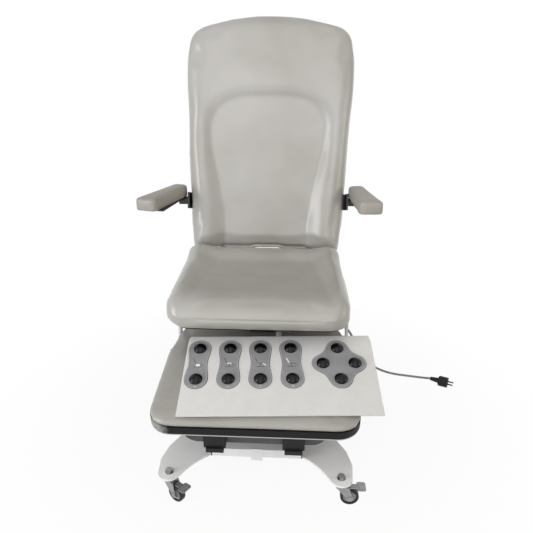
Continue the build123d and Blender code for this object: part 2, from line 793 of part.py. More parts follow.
def back_frame():
    """Board, two uprights, cross tubes, hinge arms and the armrest brackets with their pins."""
    tube_start = back_cushion_depth + back_board_thickness
    tube_mid = tube_start + upright_tube / 2
    board_face = back_outline(back_board_inset)
    frame = upright(board_face, back_board_thickness, back_cushion_depth)
    tube_height = back_height * upright_share
    for x in (-upright_x, upright_x):
        frame += block(upright_tube, upright_tube, tube_height, x, tube_mid, back_shell_inset * 2)
    for share in cross_tube_shares:
        frame += block(2 * upright_x, upright_tube, upright_tube, 0, tube_mid, back_height * share)
    arm = [
        (hinge_local_y - hinge_arm_width / 2, hinge_local_z),
        (hinge_local_y + hinge_arm_width / 2, hinge_local_z - hinge_arm_width / 3),
        (tube_start + upright_tube, -hinge_arm_width / 2),
        (tube_start + upright_tube, back_shell_inset * 4),
        (tube_start, back_shell_inset * 4),
        (tube_start, -hinge_arm_width / 6),
    ]
    for x in (-upright_x, upright_x):
        frame += side_plate(arm, hinge_arm_thickness, x)
    frame += bar_x(hinge_shaft_radius, hinge_shaft_length, 0, hinge_local_y, hinge_local_z)
    bracket_low = arm_local_z - arm_bracket_height / 2
    leg_length = arm_bracket_x - upright_x
    side_from = arm_local_y - arm_bracket_reach
    side_depth = tube_start + arm_bracket_thickness - side_from
    bracket = block(
        leg_length + arm_bracket_thickness, arm_bracket_thickness, arm_bracket_height,
        upright_x + (leg_length + arm_bracket_thickness) / 2, tube_start + arm_bracket_thickness / 2, bracket_low,
    )
    bracket += block(
        arm_bracket_thickness, side_depth, arm_bracket_height,
        arm_bracket_x + arm_bracket_thickness / 2, side_from + side_depth / 2, bracket_low,
    )
    pin_length = arm_barrel_length - overrun
    pin_x = arm_bracket_x + arm_bracket_thickness + pin_length / 2
    bracket += bar_x(arm_pin_radius, pin_length, pin_x, arm_local_y, arm_local_z)
    return frame + both_sides(bracket)


# Armrests, drawn for the right-hand side of the picture

def pad_place():
    """Place of an armrest pad: rear end by the backrest, splayed outwards to the front."""
    return Pos(pad_rear_x, pad_rear_y, 0) * Rot(0, 0, pad_splay)


def armrest_pad():
    """Padded rest, wider towards the hand."""
    outline = Polygon(
        (-pad_rear_half, 0), (pad_rear_half, 0), (pad_front_half, -pad_length), (-pad_front_half, -pad_length),
        align=(Align.NONE, Align.NONE),
    )
    outline = fillet(outline.vertices(), pad_corner)
    pad = prism(outline, pad_height, pad_bottom)
    pad = fillet(pad.faces().sort_by(Axis.Z)[-1].edges(), pad_round)
    return pad_place() * pad


def armrest_arm():
    """Steel arm: a barrel on the bracket's pin and a plate under the pad."""
    barrel_x = arm_bracket_x + arm_bracket_thickness + fit_gap + arm_barrel_length / 2
    arm = bar_x(arm_barrel_radius, arm_barrel_length, barrel_x, arm_axis_y, arm_axis_z)
    web_top = pad_bottom - arm_plate_thickness
    arm += block(arm_barrel_length, arm_barrel_radius, web_top - arm_axis_z, barrel_x, arm_axis_y, arm_axis_z)
    plate_length = pad_length - 3 * pad_corner
    plate = block(arm_plate_width, plate_length, arm_plate_thickness, 0, -pad_length / 2, web_top)
    arm += pad_place() * plate
    depth = arm_barrel_length - overrun + fit_gap
    hole_x = arm_bracket_x + arm_bracket_thickness + depth / 2
    return arm - bar_x(arm_pin_radius + running_gap, depth, hole_x, arm_axis_y, arm_axis_z)


# Leg rest

leg_y = leg_axis_y - leg_hinge_reach - leg_length * cos(radians(leg_slope))
leg_z = leg_axis_z + leg_hinge_rise - leg_length * sin(radians(leg_slope))
leg_place = Pos(0, leg_y, leg_z) * Rot(leg_slope, 0, 0)


def local_in_leg(y, z):
    """Length and height of a point of the chair in the leg rest's own level frame."""
    dy, dz = y - leg_y, z - leg_z
    slope = radians(leg_slope)
    return dy * cos(slope) + dz * sin(slope), dz * cos(slope) - dy * sin(slope)


leg_axis_local_y, leg_axis_local_z = local_in_leg(leg_axis_y, leg_axis_z)


def leg_outline(grow, front, rear):
    """Leg rest seen from above, with rounded corners, grown outwards at the front and sides."""
    half = leg_half + grow
    outline = Polygon(
        (-half, front), (half, front), (half, rear), (-half, rear), align=(Align.NONE, Align.NONE),
    )
    outline = fillet(outline.vertices().sort_by(Axis.Y)[:2], leg_front_corner + grow)
    return fillet(outline.vertices().sort_by(Axis.Y)[-2:], leg_rear_corner)


def leg_cushion():
    """Thin upholstered cushion with rounded top edges."""
    outline = leg_outline(0, trim_width, leg_length)
    body = prism(outline, leg_top - leg_cushion_bottom, leg_cushion_bottom)
    return fillet(body.faces().sort_by(Axis.Z)[-1].edges(), leg_cushion_round)


def leg_tray():
    """Aluminium tray whose edge shows as a bright line, filled by the board that takes the cushion."""
    tray = prism(leg_outline(trim_width - slide_gap, slide_gap, leg_length), tray_thickness, tray_bottom)
    board = prism(leg_outline(0, trim_width, leg_length), leg_cushion_bottom - trim_bottom, trim_bottom)
    return tray + board


def leg_trim():
    """Rubber band round the front and the sides."""
    reach = leg_length * trim_length_share
    outer = leg_outline(trim_width, 0, leg_length)
    inner = leg_outline(0, trim_width, leg_length)
    band = prism(outer - inner, trim_top - trim_bottom, trim_bottom)
    return band - block(3 * leg_half, leg_length, leg_length, 0, reach + leg_length / 2, -leg_length / 2)


def leg_shell():
    """Moulded tub under the tray, open at the top, with rounded lower corners."""
    def tub(half, depth, corner, front, rear, top):
        section = Polygon(
            (-half, top), (half, top), (half, top - depth), (-half, top - depth), align=(Align.NONE, Align.NONE),
        )
        section = fillet(section.vertices().sort_by(Axis.Y)[:2], corner)
        return Pos(0, rear, 0) * extrude(Plane.XZ * section, rear - front, dir=(0, -1, 0))

    shell = tub(leg_shell_half, leg_shell_depth, leg_shell_corner, leg_shell_front, leg_shell_rear, tray_bottom)
    hollow = tub(
        leg_shell_half - leg_shell_wall, leg_shell_depth - leg_shell_wall + overrun,
        leg_shell_corner - leg_shell_wall, leg_shell_front + leg_shell_wall,
        leg_shell_rear - leg_shell_wall, tray_bottom + overrun,
    )
    return shell - hollow


def leg_caps():
    """Black end blocks of the leg rest's two slide rails, each with a lower lip."""
    group = []
    for side in (-1, 1):
        y = leg_shell_front - leg_cap_depth / 2
        cap = block(leg_cap_width, leg_cap_depth, leg_cap_height, 0, y, tray_bottom - leg_cap_height)
        lip_depth = leg_cap_depth + leg_cap_lip_reach
        lip_y = leg_shell_front - lip_depth / 2
        lip_z = tray_bottom - leg_cap_height - leg_cap_lip_height
        cap += block(leg_cap_lip_width, lip_depth, leg_cap_lip_height + overrun, 0, lip_y, lip_z)
        group.append(Pos(side * leg_cap_x, 0, 0) * cap)
    return Compound(group)


def leg_frame():
    """Hinge shaft with four ribs that run under the tray."""
    frame = bar_x(leg_shaft_radius, 2 * (cheek_inner + cheek_plate) + overrun, 0, leg_axis_local_y, leg_axis_local_z)
    rib_end = leg_axis_local_y + leg_shaft_radius
    rib_length = rib_end - leg_rib_start
    for x in (-leg_rib_x, leg_rib_x):
        rib = block(
            leg_rib_width, rib_length, leg_rib_height, x, leg_rib_start + rib_length / 2,
            tray_bottom - leg_rib_height,
        )
        frame += rib
    return frame


# Console, drawn flat on the leg rest's top with its front left corner region towards -x and -y

console_place = leg_place * Pos(console_x, leg_length - console_back, leg_top) * Rot(0, 0, console_yaw)
console_rise = console_rear_height - console_front_height
face_slope = degrees(atan(console_rise / console_depth))
face_place = Pos(-console_width / 2, 0, console_front_height) * Rot(face_slope, 0, 0)


def wedge(width, depth, front_height, rear_height, corner):
    """Wedge whose plan has rounded rear corners."""
    side = Plane.YZ * Polygon(
        (0, 0), (depth, 0), (depth, rear_height), (0, front_height), align=(Align.NONE, Align.NONE),
    )
    solid = Pos(-width / 2, 0, 0) * extrude(side, width, dir=(1, 0, 0))
    upright_edges = solid.edges().filter_by(Axis.Z).group_by(Axis.Y)
    return fillet(upright_edges[-1], corner)


def button_places():
    """Centres of the twelve buttons on the sloping face, by name."""
    places = {}
    for number, x in enumerate(pad_columns, start=1):
        lean = (number - 2.5) * 0.6
        places[f"button_{number}_up"] = (x - lean, button_far)
        places[f"button_{number}_down"] = (x + lean, button_near)
    places["button_cross_up"] = (cross_centre_x, cross_centre_y + cross_reach_y)
    places["button_cross_down"] = (cross_centre_x, cross_centre_y - cross_reach_y)
    places["button_cross_left"] = (cross_centre_x - cross_reach_x, cross_centre_y)
    places["button_cross_right"] = (cross_centre_x + cross_reach_x, cross_centre_y)
    return places


def button_holes(height):
    """One cutter for every button hole, through the face."""
    cutter = [
        Pos(x, y, -height / 2) * Cylinder(button_radius + fit_gap, 2 * height)
        for x, y in button_places().values()
    ]
    return face_place * Compound(cutter)


def console_hollow(grow):
    """Inside of the casing, grown downwards; its top stays one wall below the sloping face."""
    slope = console_rise / console_depth
    drop = console_wall / cos(radians(face_slope))
    front_height = console_front_height + slope * console_wall - drop
    rear_height = console_rear_height - slope * console_wall - drop
    width, depth = console_width - 2 * console_wall, console_depth - 2 * console_wall
    hollow = wedge(width, depth, front_height + grow, rear_height + grow, console_corner - console_wall)
    return Pos(0, console_wall, -grow) * hollow


def console_case():
    """Moulded wedge, open underneath, with a hole for each button and a nub for its lead."""
    case = wedge(console_width, console_depth, console_front_height, console_rear_height, console_corner)
    case = fillet(case.faces().sort_by(Axis.Z)[-1].edges(), console_round)
    case -= console_hollow(overrun)
    for hole in button_holes(console_front_height / 2 + overrun).solids():
        case -= hole
    nub_z = console_rear_height - console_round - nub_radius
    nub = Cone(nub_radius, nub_tip_radius, nub_length, align=(Align.CENTER, Align.CENTER, Align.MIN))
    return case + Pos(0, console_depth, nub_z) * Rot(-90, 0, 0) * nub


def console_base():
    """Bottom plate set inside the casing, with a switch post under each button."""
    width = console_width - 2 * (console_wall + fit_gap)
    depth = console_depth - 2 * (console_wall + fit_gap)
    plate = wedge(width, depth, console_base_thickness, console_base_thickness, console_corner - console_wall)
    base = Pos(0, console_wall + fit_gap, 0) * plate
    stem_end = button_skirt - keypad_thickness - button_travel - running_gap
    top = stem_end + button_travel + fit_gap
    room = console_hollow(0)
    for x, y in button_places().values():
        post_solid = Pos(x, y, -top - console_rear_height / 2) * Cylinder(switch_post_radius, console_rear_height)
        base += (face_place * post_solid) & room
    return base


def dog_bone():
    """Outline of a two-button keypad with a waist."""
    middle = (button_near + button_far) / 2
    reach = (button_far - button_near) / 2
    outline = Pos(0, middle) * Rectangle(2 * keypad_waist, 2 * reach)
    for y in (button_near, button_far):
        outline += Pos(0, y) * Circle(keypad_radius)
    return outline


def cross_shape():
    """Outline of the four-button keypad: four lobes joined by hollow sides."""
    outline = Polygon(
        (cross_reach_x, 0), (0, cross_reach_y), (-cross_reach_x, 0), (0, -cross_reach_y),
        align=(Align.NONE, Align.NONE),
    )
    lobes = [(cross_reach_x, 0), (0, cross_reach_y), (-cross_reach_x, 0), (0, -cross_reach_y)]
    for x, y in lobes:
        outline += Pos(x, y) * Circle(cross_keypad_radius)
    return outline


def console_keypads():
    """Thin moulded surrounds of the buttons, glued on the face."""
    plates = [Pos(x, 0) * dog_bone() for x in pad_columns]
    plates.append(Pos(cross_centre_x, cross_centre_y) * cross_shape())
    solids = []
    for outline in plates:
        plate = face_place * prism(outline, keypad_thickness)
        for hole in button_holes(console_front_height).solids():
            plate -= hole
        solids += plate.solids()
    return Compound(solids)


def button():
    """Domed cap with a hollow skirt and a stem."""
    rim = keypad_thickness + button_travel + running_gap
    sphere_radius = (button_radius**2 + button_dome**2) / (2 * button_dome)
    dome = Pos(0, 0, rim + button_dome - sphere_radius) * Sphere(sphere_radius)
    cap = dome & block(3 * button_radius, 3 * button_radius, button_dome, 0, 0, rim)
    cap += post(button_radius, button_skirt, 0, 0, rim - button_skirt)
    cap -= post(button_radius - button_wall, button_skirt - button_wall, 0, 0, rim - button_skirt)
    return cap + post(button_stem_radius, button_skirt, 0, 0, rim - button_skirt)


def console_socket():
    """Socket on the leg rest's hinge shaft that takes the console's lead."""
    low = leg_axis_z + leg_shaft_radius
    body = block(socket_width, socket_depth, socket_height, socket_x, leg_axis_y, low - overrun)
    bore = bar_x(leg_shaft_radius, socket_width + overrun, socket_x, leg_axis_y, leg_axis_z)
    return body - bore


# Assembly of all pieces by name

pieces = {
    "base_plate_front": base_plate(),
    "base_plate_rear": Pos(0, wheelbase, 0) * mirror(base_plate(), Plane.XZ),
    "base_tubes": base_tubes(),
    "base_end_caps": base_end_caps(),
    "caster_bolts": caster_bolts(),
    "column_outer": column_tube(0, 0, column_outer_height),
    "column_middle": column_tube(column_pitch, column_middle_rise, column_middle_top - foot_top - column_middle_rise),
    "column_inner": column_tube(2 * column_pitch, column_inner_rise, column_inner_top - foot_top - column_inner_rise),
    "lift_head": lift_head(),
    "control_box": control_box(),
    "mains_gland": mains_gland(),
    "seat_frame": seat_frame(),
    "seat_board": seat_board(),
    "seat_cushion": seat_cushion(),
    "recliner_drive": gear_drive(hinge_shaft_radius, hinge_y, hinge_z, frame_under, motor_y, motor_z),
    "leg_rest_drive": gear_drive(
        leg_shaft_radius, leg_axis_y, leg_axis_z, frame_under, leg_axis_y, frame_under - motor_radius - flat_bar,
    ),
    "backrest_frame": back_place * back_frame(),
    "backrest_shell": back_place * back_shell(),
    "backrest_cushion": back_place * back_cushion(),
    "armrest_arm_right": armrest_arm(),
    "armrest_arm_left": mirror(armrest_arm(), Plane.YZ),
    "armrest_pad_right": armrest_pad(),
    "armrest_pad_left": mirror(armrest_pad(), Plane.YZ),
    "leg_rest_frame": leg_place * leg_frame(),
    "leg_rest_tray": leg_place * leg_tray(),
    "leg_rest_trim": leg_place * leg_trim(),
    "leg_rest_shell": leg_place * leg_shell(),
    "leg_rest_rail_caps": leg_place * leg_caps(),
    "leg_rest_cushion": leg_place * leg_cushion(),
    "console_case": console_place * console_case(),
    "console_base": console_place * console_base(),
    "console_keypads": console_place * console_keypads(),
    "console_socket": console_socket(),
}
for name, (x, y) in button_places().items():
    pieces[name] = console_place * face_place * Pos(x, y, 0) * button()
for name, angle in caster_angles.items():
    x = track if "right" in name else -track
    y = wheelbase if "rear" in name else 0
    place = Pos(x, y, 0) * Rot(0, 0, angle)
    pieces[f"caster_fork_{name}"] = place * caster_fork("front" in name)
    pieces[f"caster_wheel_{name}"] = place * caster_wheel()
    if "front" in name:
        pieces[f"brake_pedal_{name}"] = place * brake_pedal()

# The origin is on the floor under the middle of the chair's outline, leads left out
boxes = [piece.bounding_box() for piece in pieces.values()]
middle_y = (min(box.min.Y for box in boxes) + max(box.max.Y for box in boxes)) / 2

pieces["console_lead"] = lead_tube(console_route, console_lead_radius)
pieces["mains_lead_start"] = lead_tube(mains_route_start, mains_radius)
pieces["mains_lead_coil"] = mains_coil()
pieces["mains_lead_end"] = lead_tube(mains_route_end, mains_radius)
pieces["mains_plug"] = mains_plug()

for name, piece in pieces.items():
    export_step(Pos(0, -middle_y, 0) * piece, f"parts/{name}.step")

print("pieces", len(pieces))
print("middle_y", middle_y)
axes = {
    "seat_tilt": (0, column_y, tilt_axis_z),
    "backrest_recline": (0, hinge_y, hinge_z),
    "leg_rest": (0, leg_axis_y, leg_axis_z),
    "armrest": (arm_bracket_x, arm_axis_y, arm_axis_z),
    "console_normal": tuple((console_place * face_place * Pos(0, 0, 1)).position - (console_place * face_place).position),
}
for name, place in axes.items():
    print("axis", name, *place)
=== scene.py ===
import math
import bmesh
import bpy
import numpy as np
from mathutils import Matrix, Vector


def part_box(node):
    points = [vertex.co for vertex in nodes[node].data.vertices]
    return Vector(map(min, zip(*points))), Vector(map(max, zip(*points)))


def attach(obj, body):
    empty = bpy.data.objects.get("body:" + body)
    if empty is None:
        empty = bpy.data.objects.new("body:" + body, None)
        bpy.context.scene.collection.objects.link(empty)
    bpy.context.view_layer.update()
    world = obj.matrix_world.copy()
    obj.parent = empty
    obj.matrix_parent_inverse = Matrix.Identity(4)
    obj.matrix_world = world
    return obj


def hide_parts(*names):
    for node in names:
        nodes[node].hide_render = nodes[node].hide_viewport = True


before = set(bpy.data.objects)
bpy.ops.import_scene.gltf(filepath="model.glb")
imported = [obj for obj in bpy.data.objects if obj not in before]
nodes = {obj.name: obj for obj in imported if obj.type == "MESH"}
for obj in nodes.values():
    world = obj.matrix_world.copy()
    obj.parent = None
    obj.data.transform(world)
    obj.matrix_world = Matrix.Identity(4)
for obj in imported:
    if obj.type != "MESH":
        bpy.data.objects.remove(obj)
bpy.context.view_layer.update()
bpy.ops.object.select_all(action="DESELECT")

# Studio: a white floor that keeps the chair's shadow, a tall window on the left, soft lamps in
# front, above and low down, a weaker warm one on the right and a pale world. Places are in
# millimetres from the middle of the front caster line on the floor, as the chair is measured.
wheelbase = 700
bolts_low, bolts_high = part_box("caster_bolts")
front_y = (bolts_low.y + bolts_high.y) / 2 - wheelbase / 2000


def place(x, y, z):
    return Vector((x / 1000, y / 1000 + front_y, z / 1000))


def linear(hex_colour):
    parts = [int(hex_colour[i:i + 2], 16) / 255 for i in (1, 3, 5)]
    return (*[c / 12.92 if c <= 0.04045 else ((c + 0.055) / 1.055) ** 2.4 for c in parts], 1)


def add_node(tree, kind, links=None, stops=(), **settings):
    """A shader node with its settings, what is linked into it and, on a colour ramp, its stops.
    Object coordinates are in metres, so a pattern of so many millimetres has Scale 1000 / size."""
    node = tree.nodes.new("ShaderNode" + kind)
    for name, value in settings.items():
        if hasattr(node, name):
            setattr(node, name, value)
        else:
            node.inputs[name.replace("_", " ")].default_value = value
    for name, source in (links or {}).items():
        tree.links.new(source, node.inputs[name])
    for number, (position, shade) in enumerate(stops):
        node.color_ramp.elements[number].position = position
        node.color_ramp.elements[number].color = linear(shade)
    return node


def blank_material(name):
    material = bpy.data.materials.new(name)
    material.use_nodes = True
    material.node_tree.nodes.clear()
    return material, material.node_tree


scene = bpy.context.scene
scene.view_settings.view_transform = "Standard"
sensor = 36
focal_pixels, picture_pixels = 529.2, 533
camera_down, camera_aside = math.radians(20.7), math.radians(3.0)
camera = bpy.data.objects.new("camera", bpy.data.cameras.new("camera"))
camera.data.sensor_width = sensor
camera.data.lens = sensor * focal_pixels / picture_pixels
camera.data.clip_start = 0.05
camera.location = place(90.7, -1126.4, 1105.7)
camera.rotation_euler = (math.pi / 2 - camera_down, 0, camera_aside)
scene.collection.objects.link(camera)
scene.camera = camera


def backdrop_rays(tree):
    """1 for the rays that see the white backdrop: straight, through glass or in a glossy skin."""
    rays = add_node(tree, "LightPath").outputs
    direct = add_node(tree, "Math", {0: rays["Is Camera Ray"], 1: rays["Is Transmission Ray"]},
                      operation="MAXIMUM")
    seen = add_node(tree, "Math", {0: direct.outputs[0], 1: rays["Is Glossy Ray"]}, operation="MAXIMUM")
    return seen.outputs[0]


world = bpy.data.worlds.new("pale studio")
world.use_nodes = True
scene.world = world
tree = world.node_tree
tree.nodes.clear()
direction = add_node(tree, "TexCoord")
height = add_node(tree, "SeparateXYZ", {"Vector": direction.outputs["Generated"]})
sky = add_node(tree, "ValToRGB", {"Fac": height.outputs["Z"]}, [(0.12, "#c4c6c8"), (0.85, "#cbc8c1")])
room = add_node(tree, "Background", {"Color": sky.outputs["Color"]}, Strength=0.42)
backdrop = add_node(tree, "Background", Color=(1, 1, 1, 1), Strength=1.0)
mixed = add_node(tree, "MixShader", {0: backdrop_rays(tree), 1: room.outputs[0], 2: backdrop.outputs[0]})
add_node(tree, "OutputWorld", {"Surface": mixed.outputs[0]})

bpy.ops.mesh.primitive_plane_add(size=14, location=(0, 0, 0))
floor = bpy.context.object
floor.name = "studio_floor"
material, tree = blank_material("white paper floor")
paper = add_node(tree, "BsdfDiffuse", Color=linear("#d8d8d8"))
bright = add_node(tree, "Emission", Color=(1, 1, 1, 1), Strength=1.0)
spot = add_node(tree, "TexCoord")
reach = add_node(tree, "VectorMath", {0: spot.outputs["Object"]}, operation="LENGTH")
# The shadow shows within a metre of the chair, and the paper is plain white beyond it
lit = add_node(tree, "MapRange", {"Value": reach.outputs["Value"]}, From_Min=0.3, From_Max=1.0,
               To_Min=0.92, To_Max=1.0)
lifted = add_node(tree, "MixShader", {"Fac": lit.outputs[0], 1: paper.outputs[0], 2: bright.outputs[0]})
mixed = add_node(tree, "MixShader", {0: backdrop_rays(tree), 1: paper.outputs[0], 2: lifted.outputs[0]})
add_node(tree, "OutputMaterial", {"Surface": mixed.outputs[0]})
floor.data.materials.append(material)


def softbox(name, at, aim, size, watts, colour):
    lamp = bpy.data.objects.new(name, bpy.data.lights.new(name, "AREA"))
    lamp.data.shape = "RECTANGLE"
    lamp.data.size, lamp.data.size_y = size
    lamp.data.energy = watts
    lamp.data.color = linear(colour)[:3]
    lamp.location = at
    lamp.rotation_euler = (aim - at).to_track_quat("-Z", "Y").to_euler()
    scene.collection.objects.link(lamp)


middle = place(0, 400, 650)
softbox("left_window", place(-2300, -1100, 1150), middle, (0.75, 2.1), 40, "#fdfdff")
softbox("front_wall", place(100, -3000, 2500), middle, (3.2, 1.6), 31.5, "#fdfdff")
softbox("right_fill", place(2600, -200, 1100), middle, (0.9, 1.8), 14, "#f8f0e4")
softbox("ceiling", place(100, -800, 2900), middle, (2.2, 2.2), 16.5, "#fdfaf5")
softbox("low_front", place(0, -2600, 650), place(0, 0, 60), (2.6, 0.6), 10, "#fdfdff")

# Mains lead: an 8 mm round rubber-sheathed cable from the control box on the column. It drops to
# the floor behind the leg rest, lies wound in a coil there and runs out to its plug on the right.


def sheath(name, shades):
    """Extruded rubber cable sheath: a soft satin skin with faint patches of dust."""
    material, tree = blank_material(name)
    position = add_node(tree, "TexCoord").outputs["Object"]
    dust_mm = 11.11
    dust = add_node(tree, "TexNoise", {"Vector": position}, Scale=1000 / dust_mm, Detail=4.0)
    tint = add_node(tree, "ValToRGB", {"Fac": dust.outputs["Fac"]}, zip((0.35, 0.75), shades))
    relief = add_node(tree, "Bump", {"Height": dust.outputs["Fac"]}, Strength=0.15, Distance=0.0004)
    skin = add_node(tree, "BsdfPrincipled", {"Base Color": tint.outputs["Color"],
                                             "Normal": relief.outputs["Normal"]}, Roughness=0.48)
    add_node(tree, "OutputMaterial", {"Surface": skin.outputs[0]})
    return material


def cable(name, points, diameter, material, body):
    """One smooth curve through the cable's route, given as control points in millimetres."""
    curve = bpy.data.curves.new(name, "CURVE")
    curve.dimensions = "3D"
    spline = curve.splines.new("NURBS")
    spline.points.add(len(points) - 1)
    for point, where in zip(spline.points, points):
        point.co = (*place(*where), 1)
    spline.order_u = 3
    spline.use_endpoint_u = True
    spline.resolution_u = 6
    curve.bevel_depth = diameter / 2000
    curve.bevel_resolution = 4
    curve.use_fill_caps = True
    curve.materials.append(material)
    piece = bpy.data.objects.new(name, curve)
    scene.collection.objects.link(piece)
    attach(piece, body)
    return piece


grey_rubber = sheath("grey rubber cable sheath", ("#7c7c7f", "#919195"))
black_rubber_sheath = sheath("black rubber grommet", ("#232324", "#303032"))
mains_diameter = 8
mains_start = [
    (175, 490, 300), (215, 490, 300), (256, 493, 290), (288, 501, 262), (306, 514, 222), (318, 532, 176),
    (329, 555, 128), (341, 583, 82), (351, 616, 42), (355, 656, 14), (348, 702, 4.5), (326, 744, 4.5),
    (289, 773, 4.5), (246, 790, 4.5), (209, 811, 4.5), (188, 843, 4.5),
]
mains_end = [
    (303, 886, 4.5), (332, 850, 4.5), (353, 806, 4.5), (374, 764, 4.5), (396, 726, 4.5), (420, 691, 4.5),
    (452, 663, 4.5), (492, 645, 4.5), (540, 634, 6), (583, 615, 12), (612, 601, 18.5),
]
# The coil winds in along the floor and out again in a second layer
coil_x, coil_y = 235, 880
turn_points = 14
coil_radii = [51.5, 43.5, 35.5, 36.0, 44.0, 51.5]
coil_heights = [4.2, 4.2, 4.2, 12.2, 12.2, 12.2]
arrive, leave = math.radians(196), math.radians(50)
whole_turns = len(coil_radii)
sweep = 2 * math.pi * (whole_turns - 1) + (arrive - leave)
coil_steps = round(sweep / (2 * math.pi) * turn_points)
coil = []
for step in range(coil_steps + 1):
    turn = step / turn_points
    angle = arrive - 2 * math.pi * turn
    level = min(turn, whole_turns - 1)
    below = int(level)
    above = min(below + 1, whole_turns - 1)
    radius = coil_radii[below] + (coil_radii[above] - coil_radii[below]) * (level - below)
    height = coil_heights[below] + (coil_heights[above] - coil_heights[below]) * (level - below)
    coil.append((coil_x + radius * math.cos(angle), coil_y + radius * math.sin(angle), height))
mains_route = mains_start + coil + mains_end
mains = cable("mains_cable", mains_route, mains_diameter, grey_rubber, "base")
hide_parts("mains_lead_start", "mains_lead_coil", "mains_lead_end")

# Console lead: a thin 5 mm cable that comes out of the console's rear nub, sags over the leg rest
# and goes up to its socket on the leg rest's hinge.
console_lead_points = [
    (46.9, 245.5, 373.2), (45.9, 263.5, 375), (49.5, 285, 370), (61, 305, 357), (82, 322, 344),
    (107, 333, 337), (131, 338, 337), (153, 343.5, 340.5), (170, 353.5, 344.5), (178.5, 366.5, 341),
    (180, 376, 328),
]
console_lead_diameter = 5
console_lead = cable("console_cable", console_lead_points, console_lead_diameter, grey_rubber, "leg_rest")
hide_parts("console_lead")


# Coated steel: the base's plates and tubes and the seat frame are light grey, the column's tubes
# mid grey, and the frames inside the back and the leg rest and the arms black. All are cut or
# rolled, welded and powder coated.
def coated_steel(name, shades, roughness):
    """Powder coat: an even orange-peel skin, a little duller where dust and scuffs sit."""
    material, tree = blank_material(name)
    position = add_node(tree, "TexCoord").outputs["Object"]
    peel_mm, dirt_mm = 1.6, 71.4
    peel = add_node(tree, "TexNoise", {"Vector": position}, Scale=1000 / peel_mm, Detail=2.0)
    dirt = add_node(tree, "TexNoise", {"Vector": position}, Scale=1000 / dirt_mm, Detail=6.0, Roughness=0.6)
    tint = add_node(tree, "ValToRGB", {"Fac": dirt.outputs["Fac"]}, zip((0.3, 0.62), shades))
    dull = add_node(tree, "MapRange", {"Value": dirt.outputs["Fac"]}, To_Min=roughness - 0.08,
                    To_Max=roughness + 0.12)
    relief = add_node(tree, "Bump", {"Height": peel.outputs["Fac"]}, Strength=0.12, Distance=0.0003)
    skin = add_node(tree, "BsdfPrincipled", {"Base Color": tint.outputs["Color"],
                                             "Roughness": dull.outputs[0],
                                             "Normal": relief.outputs["Normal"]})
    add_node(tree, "OutputMaterial", {"Surface": skin.outputs[0]})
    return material


def finish_nodes(material, *names):
    for name in names:
        for slot in nodes[name].material_slots:
            slot.material = material


light_coat = coated_steel("light grey powder coated steel", ("#eeeeed", "#f6f6f5"), 0.38)
column_coat = coated_steel("mid grey powder coated steel", ("#a9a9a7", "#bcbcb9"), 0.42)
black_coat = coated_steel("black powder coated steel", ("#1d1d1e", "#2a2a2b"), 0.45)
finish_nodes(light_coat, "base_plate_front", "base_plate_rear", "base_tubes", "seat_frame")
finish_nodes(column_coat, "column_outer", "column_middle", "column_inner")
finish_nodes(black_coat, "lift_head", "backrest_frame", "leg_rest_frame",
             "armrest_arm_left", "armrest_arm_right")


# Casters: pressed forks and pedals in bright zinc, riveted axles, black rubber tyres moulded on a
# pale nylon wheel centre, each held to the base plate by a stem, washer and nut.
def plated_steel(name, shades, roughness, mottle_mm):
    """Bright zinc or brushed metal: a soft mirror with the faint cloudy crystals of the plating bath."""
    material, tree = blank_material(name)
    position = add_node(tree, "TexCoord").outputs["Object"]
    cloud = add_node(tree, "TexVoronoi", {"Vector": position}, Scale=1000 / mottle_mm)
    smear_mm = 16.67
    smears = add_node(tree, "TexNoise", {"Vector": position}, Scale=1000 / smear_mm, Detail=5.0)
    tint = add_node(tree, "ValToRGB", {"Fac": smears.outputs["Fac"]}, zip((0, 1), shades))
    dull = add_node(tree, "MapRange", {"Value": cloud.outputs["Distance"]}, To_Min=roughness,
                    To_Max=roughness + 0.12)
    metal = add_node(tree, "BsdfPrincipled", {"Base Color": tint.outputs["Color"],
                                              "Roughness": dull.outputs[0]}, Metallic=1.0)
    add_node(tree, "OutputMaterial", {"Surface": metal.outputs[0]})
    return material


def moulded_plastic(name, shades, roughness, grain_mm, relief_share=0.2, reflection=0.5):
    """Injection-moulded plastic: a spark-eroded grain, drawn coarser than the real 0.1 mm so that it
    shows, and a trace of handling marks."""
    material, tree = blank_material(name)
    position = add_node(tree, "TexCoord").outputs["Object"]
    grain = add_node(tree, "TexNoise", {"Vector": position}, Scale=1000 / grain_mm, Detail=3.0)
    mark_mm = 45.45
    marks = add_node(tree, "TexNoise", {"Vector": position}, Scale=1000 / mark_mm, Detail=7.0, Roughness=0.65)
    tint = add_node(tree, "ValToRGB", {"Fac": marks.outputs["Fac"]}, zip((0.3, 0.65), shades))
    dull = add_node(tree, "MapRange", {"Value": marks.outputs["Fac"]}, To_Min=roughness - 0.06,
                    To_Max=roughness + 0.1)
    relief = add_node(tree, "Bump", {"Height": grain.outputs["Fac"]}, Strength=relief_share, Distance=0.0003)
    skin = add_node(tree, "BsdfPrincipled", {"Base Color": tint.outputs["Color"],
                                             "Roughness": dull.outputs[0],
                                             "Normal": relief.outputs["Normal"]},
                    Specular_IOR_Level=reflection)
    add_node(tree, "OutputMaterial", {"Surface": skin.outputs[0]})
    return material


bright_zinc = plated_steel("bright zinc plated steel", ("#86868a", "#b2b2b2"), 0.24, 3.0)
caster_aside, wheel_trail, wheel_radius = 231, 24, 25
caster_places = {
    "front_left": (-caster_aside, 0, -33), "front_right": (caster_aside, 0, 0),
    "rear_left": (-caster_aside, wheelbase, 100), "rear_right": (caster_aside, wheelbase, 75),
}


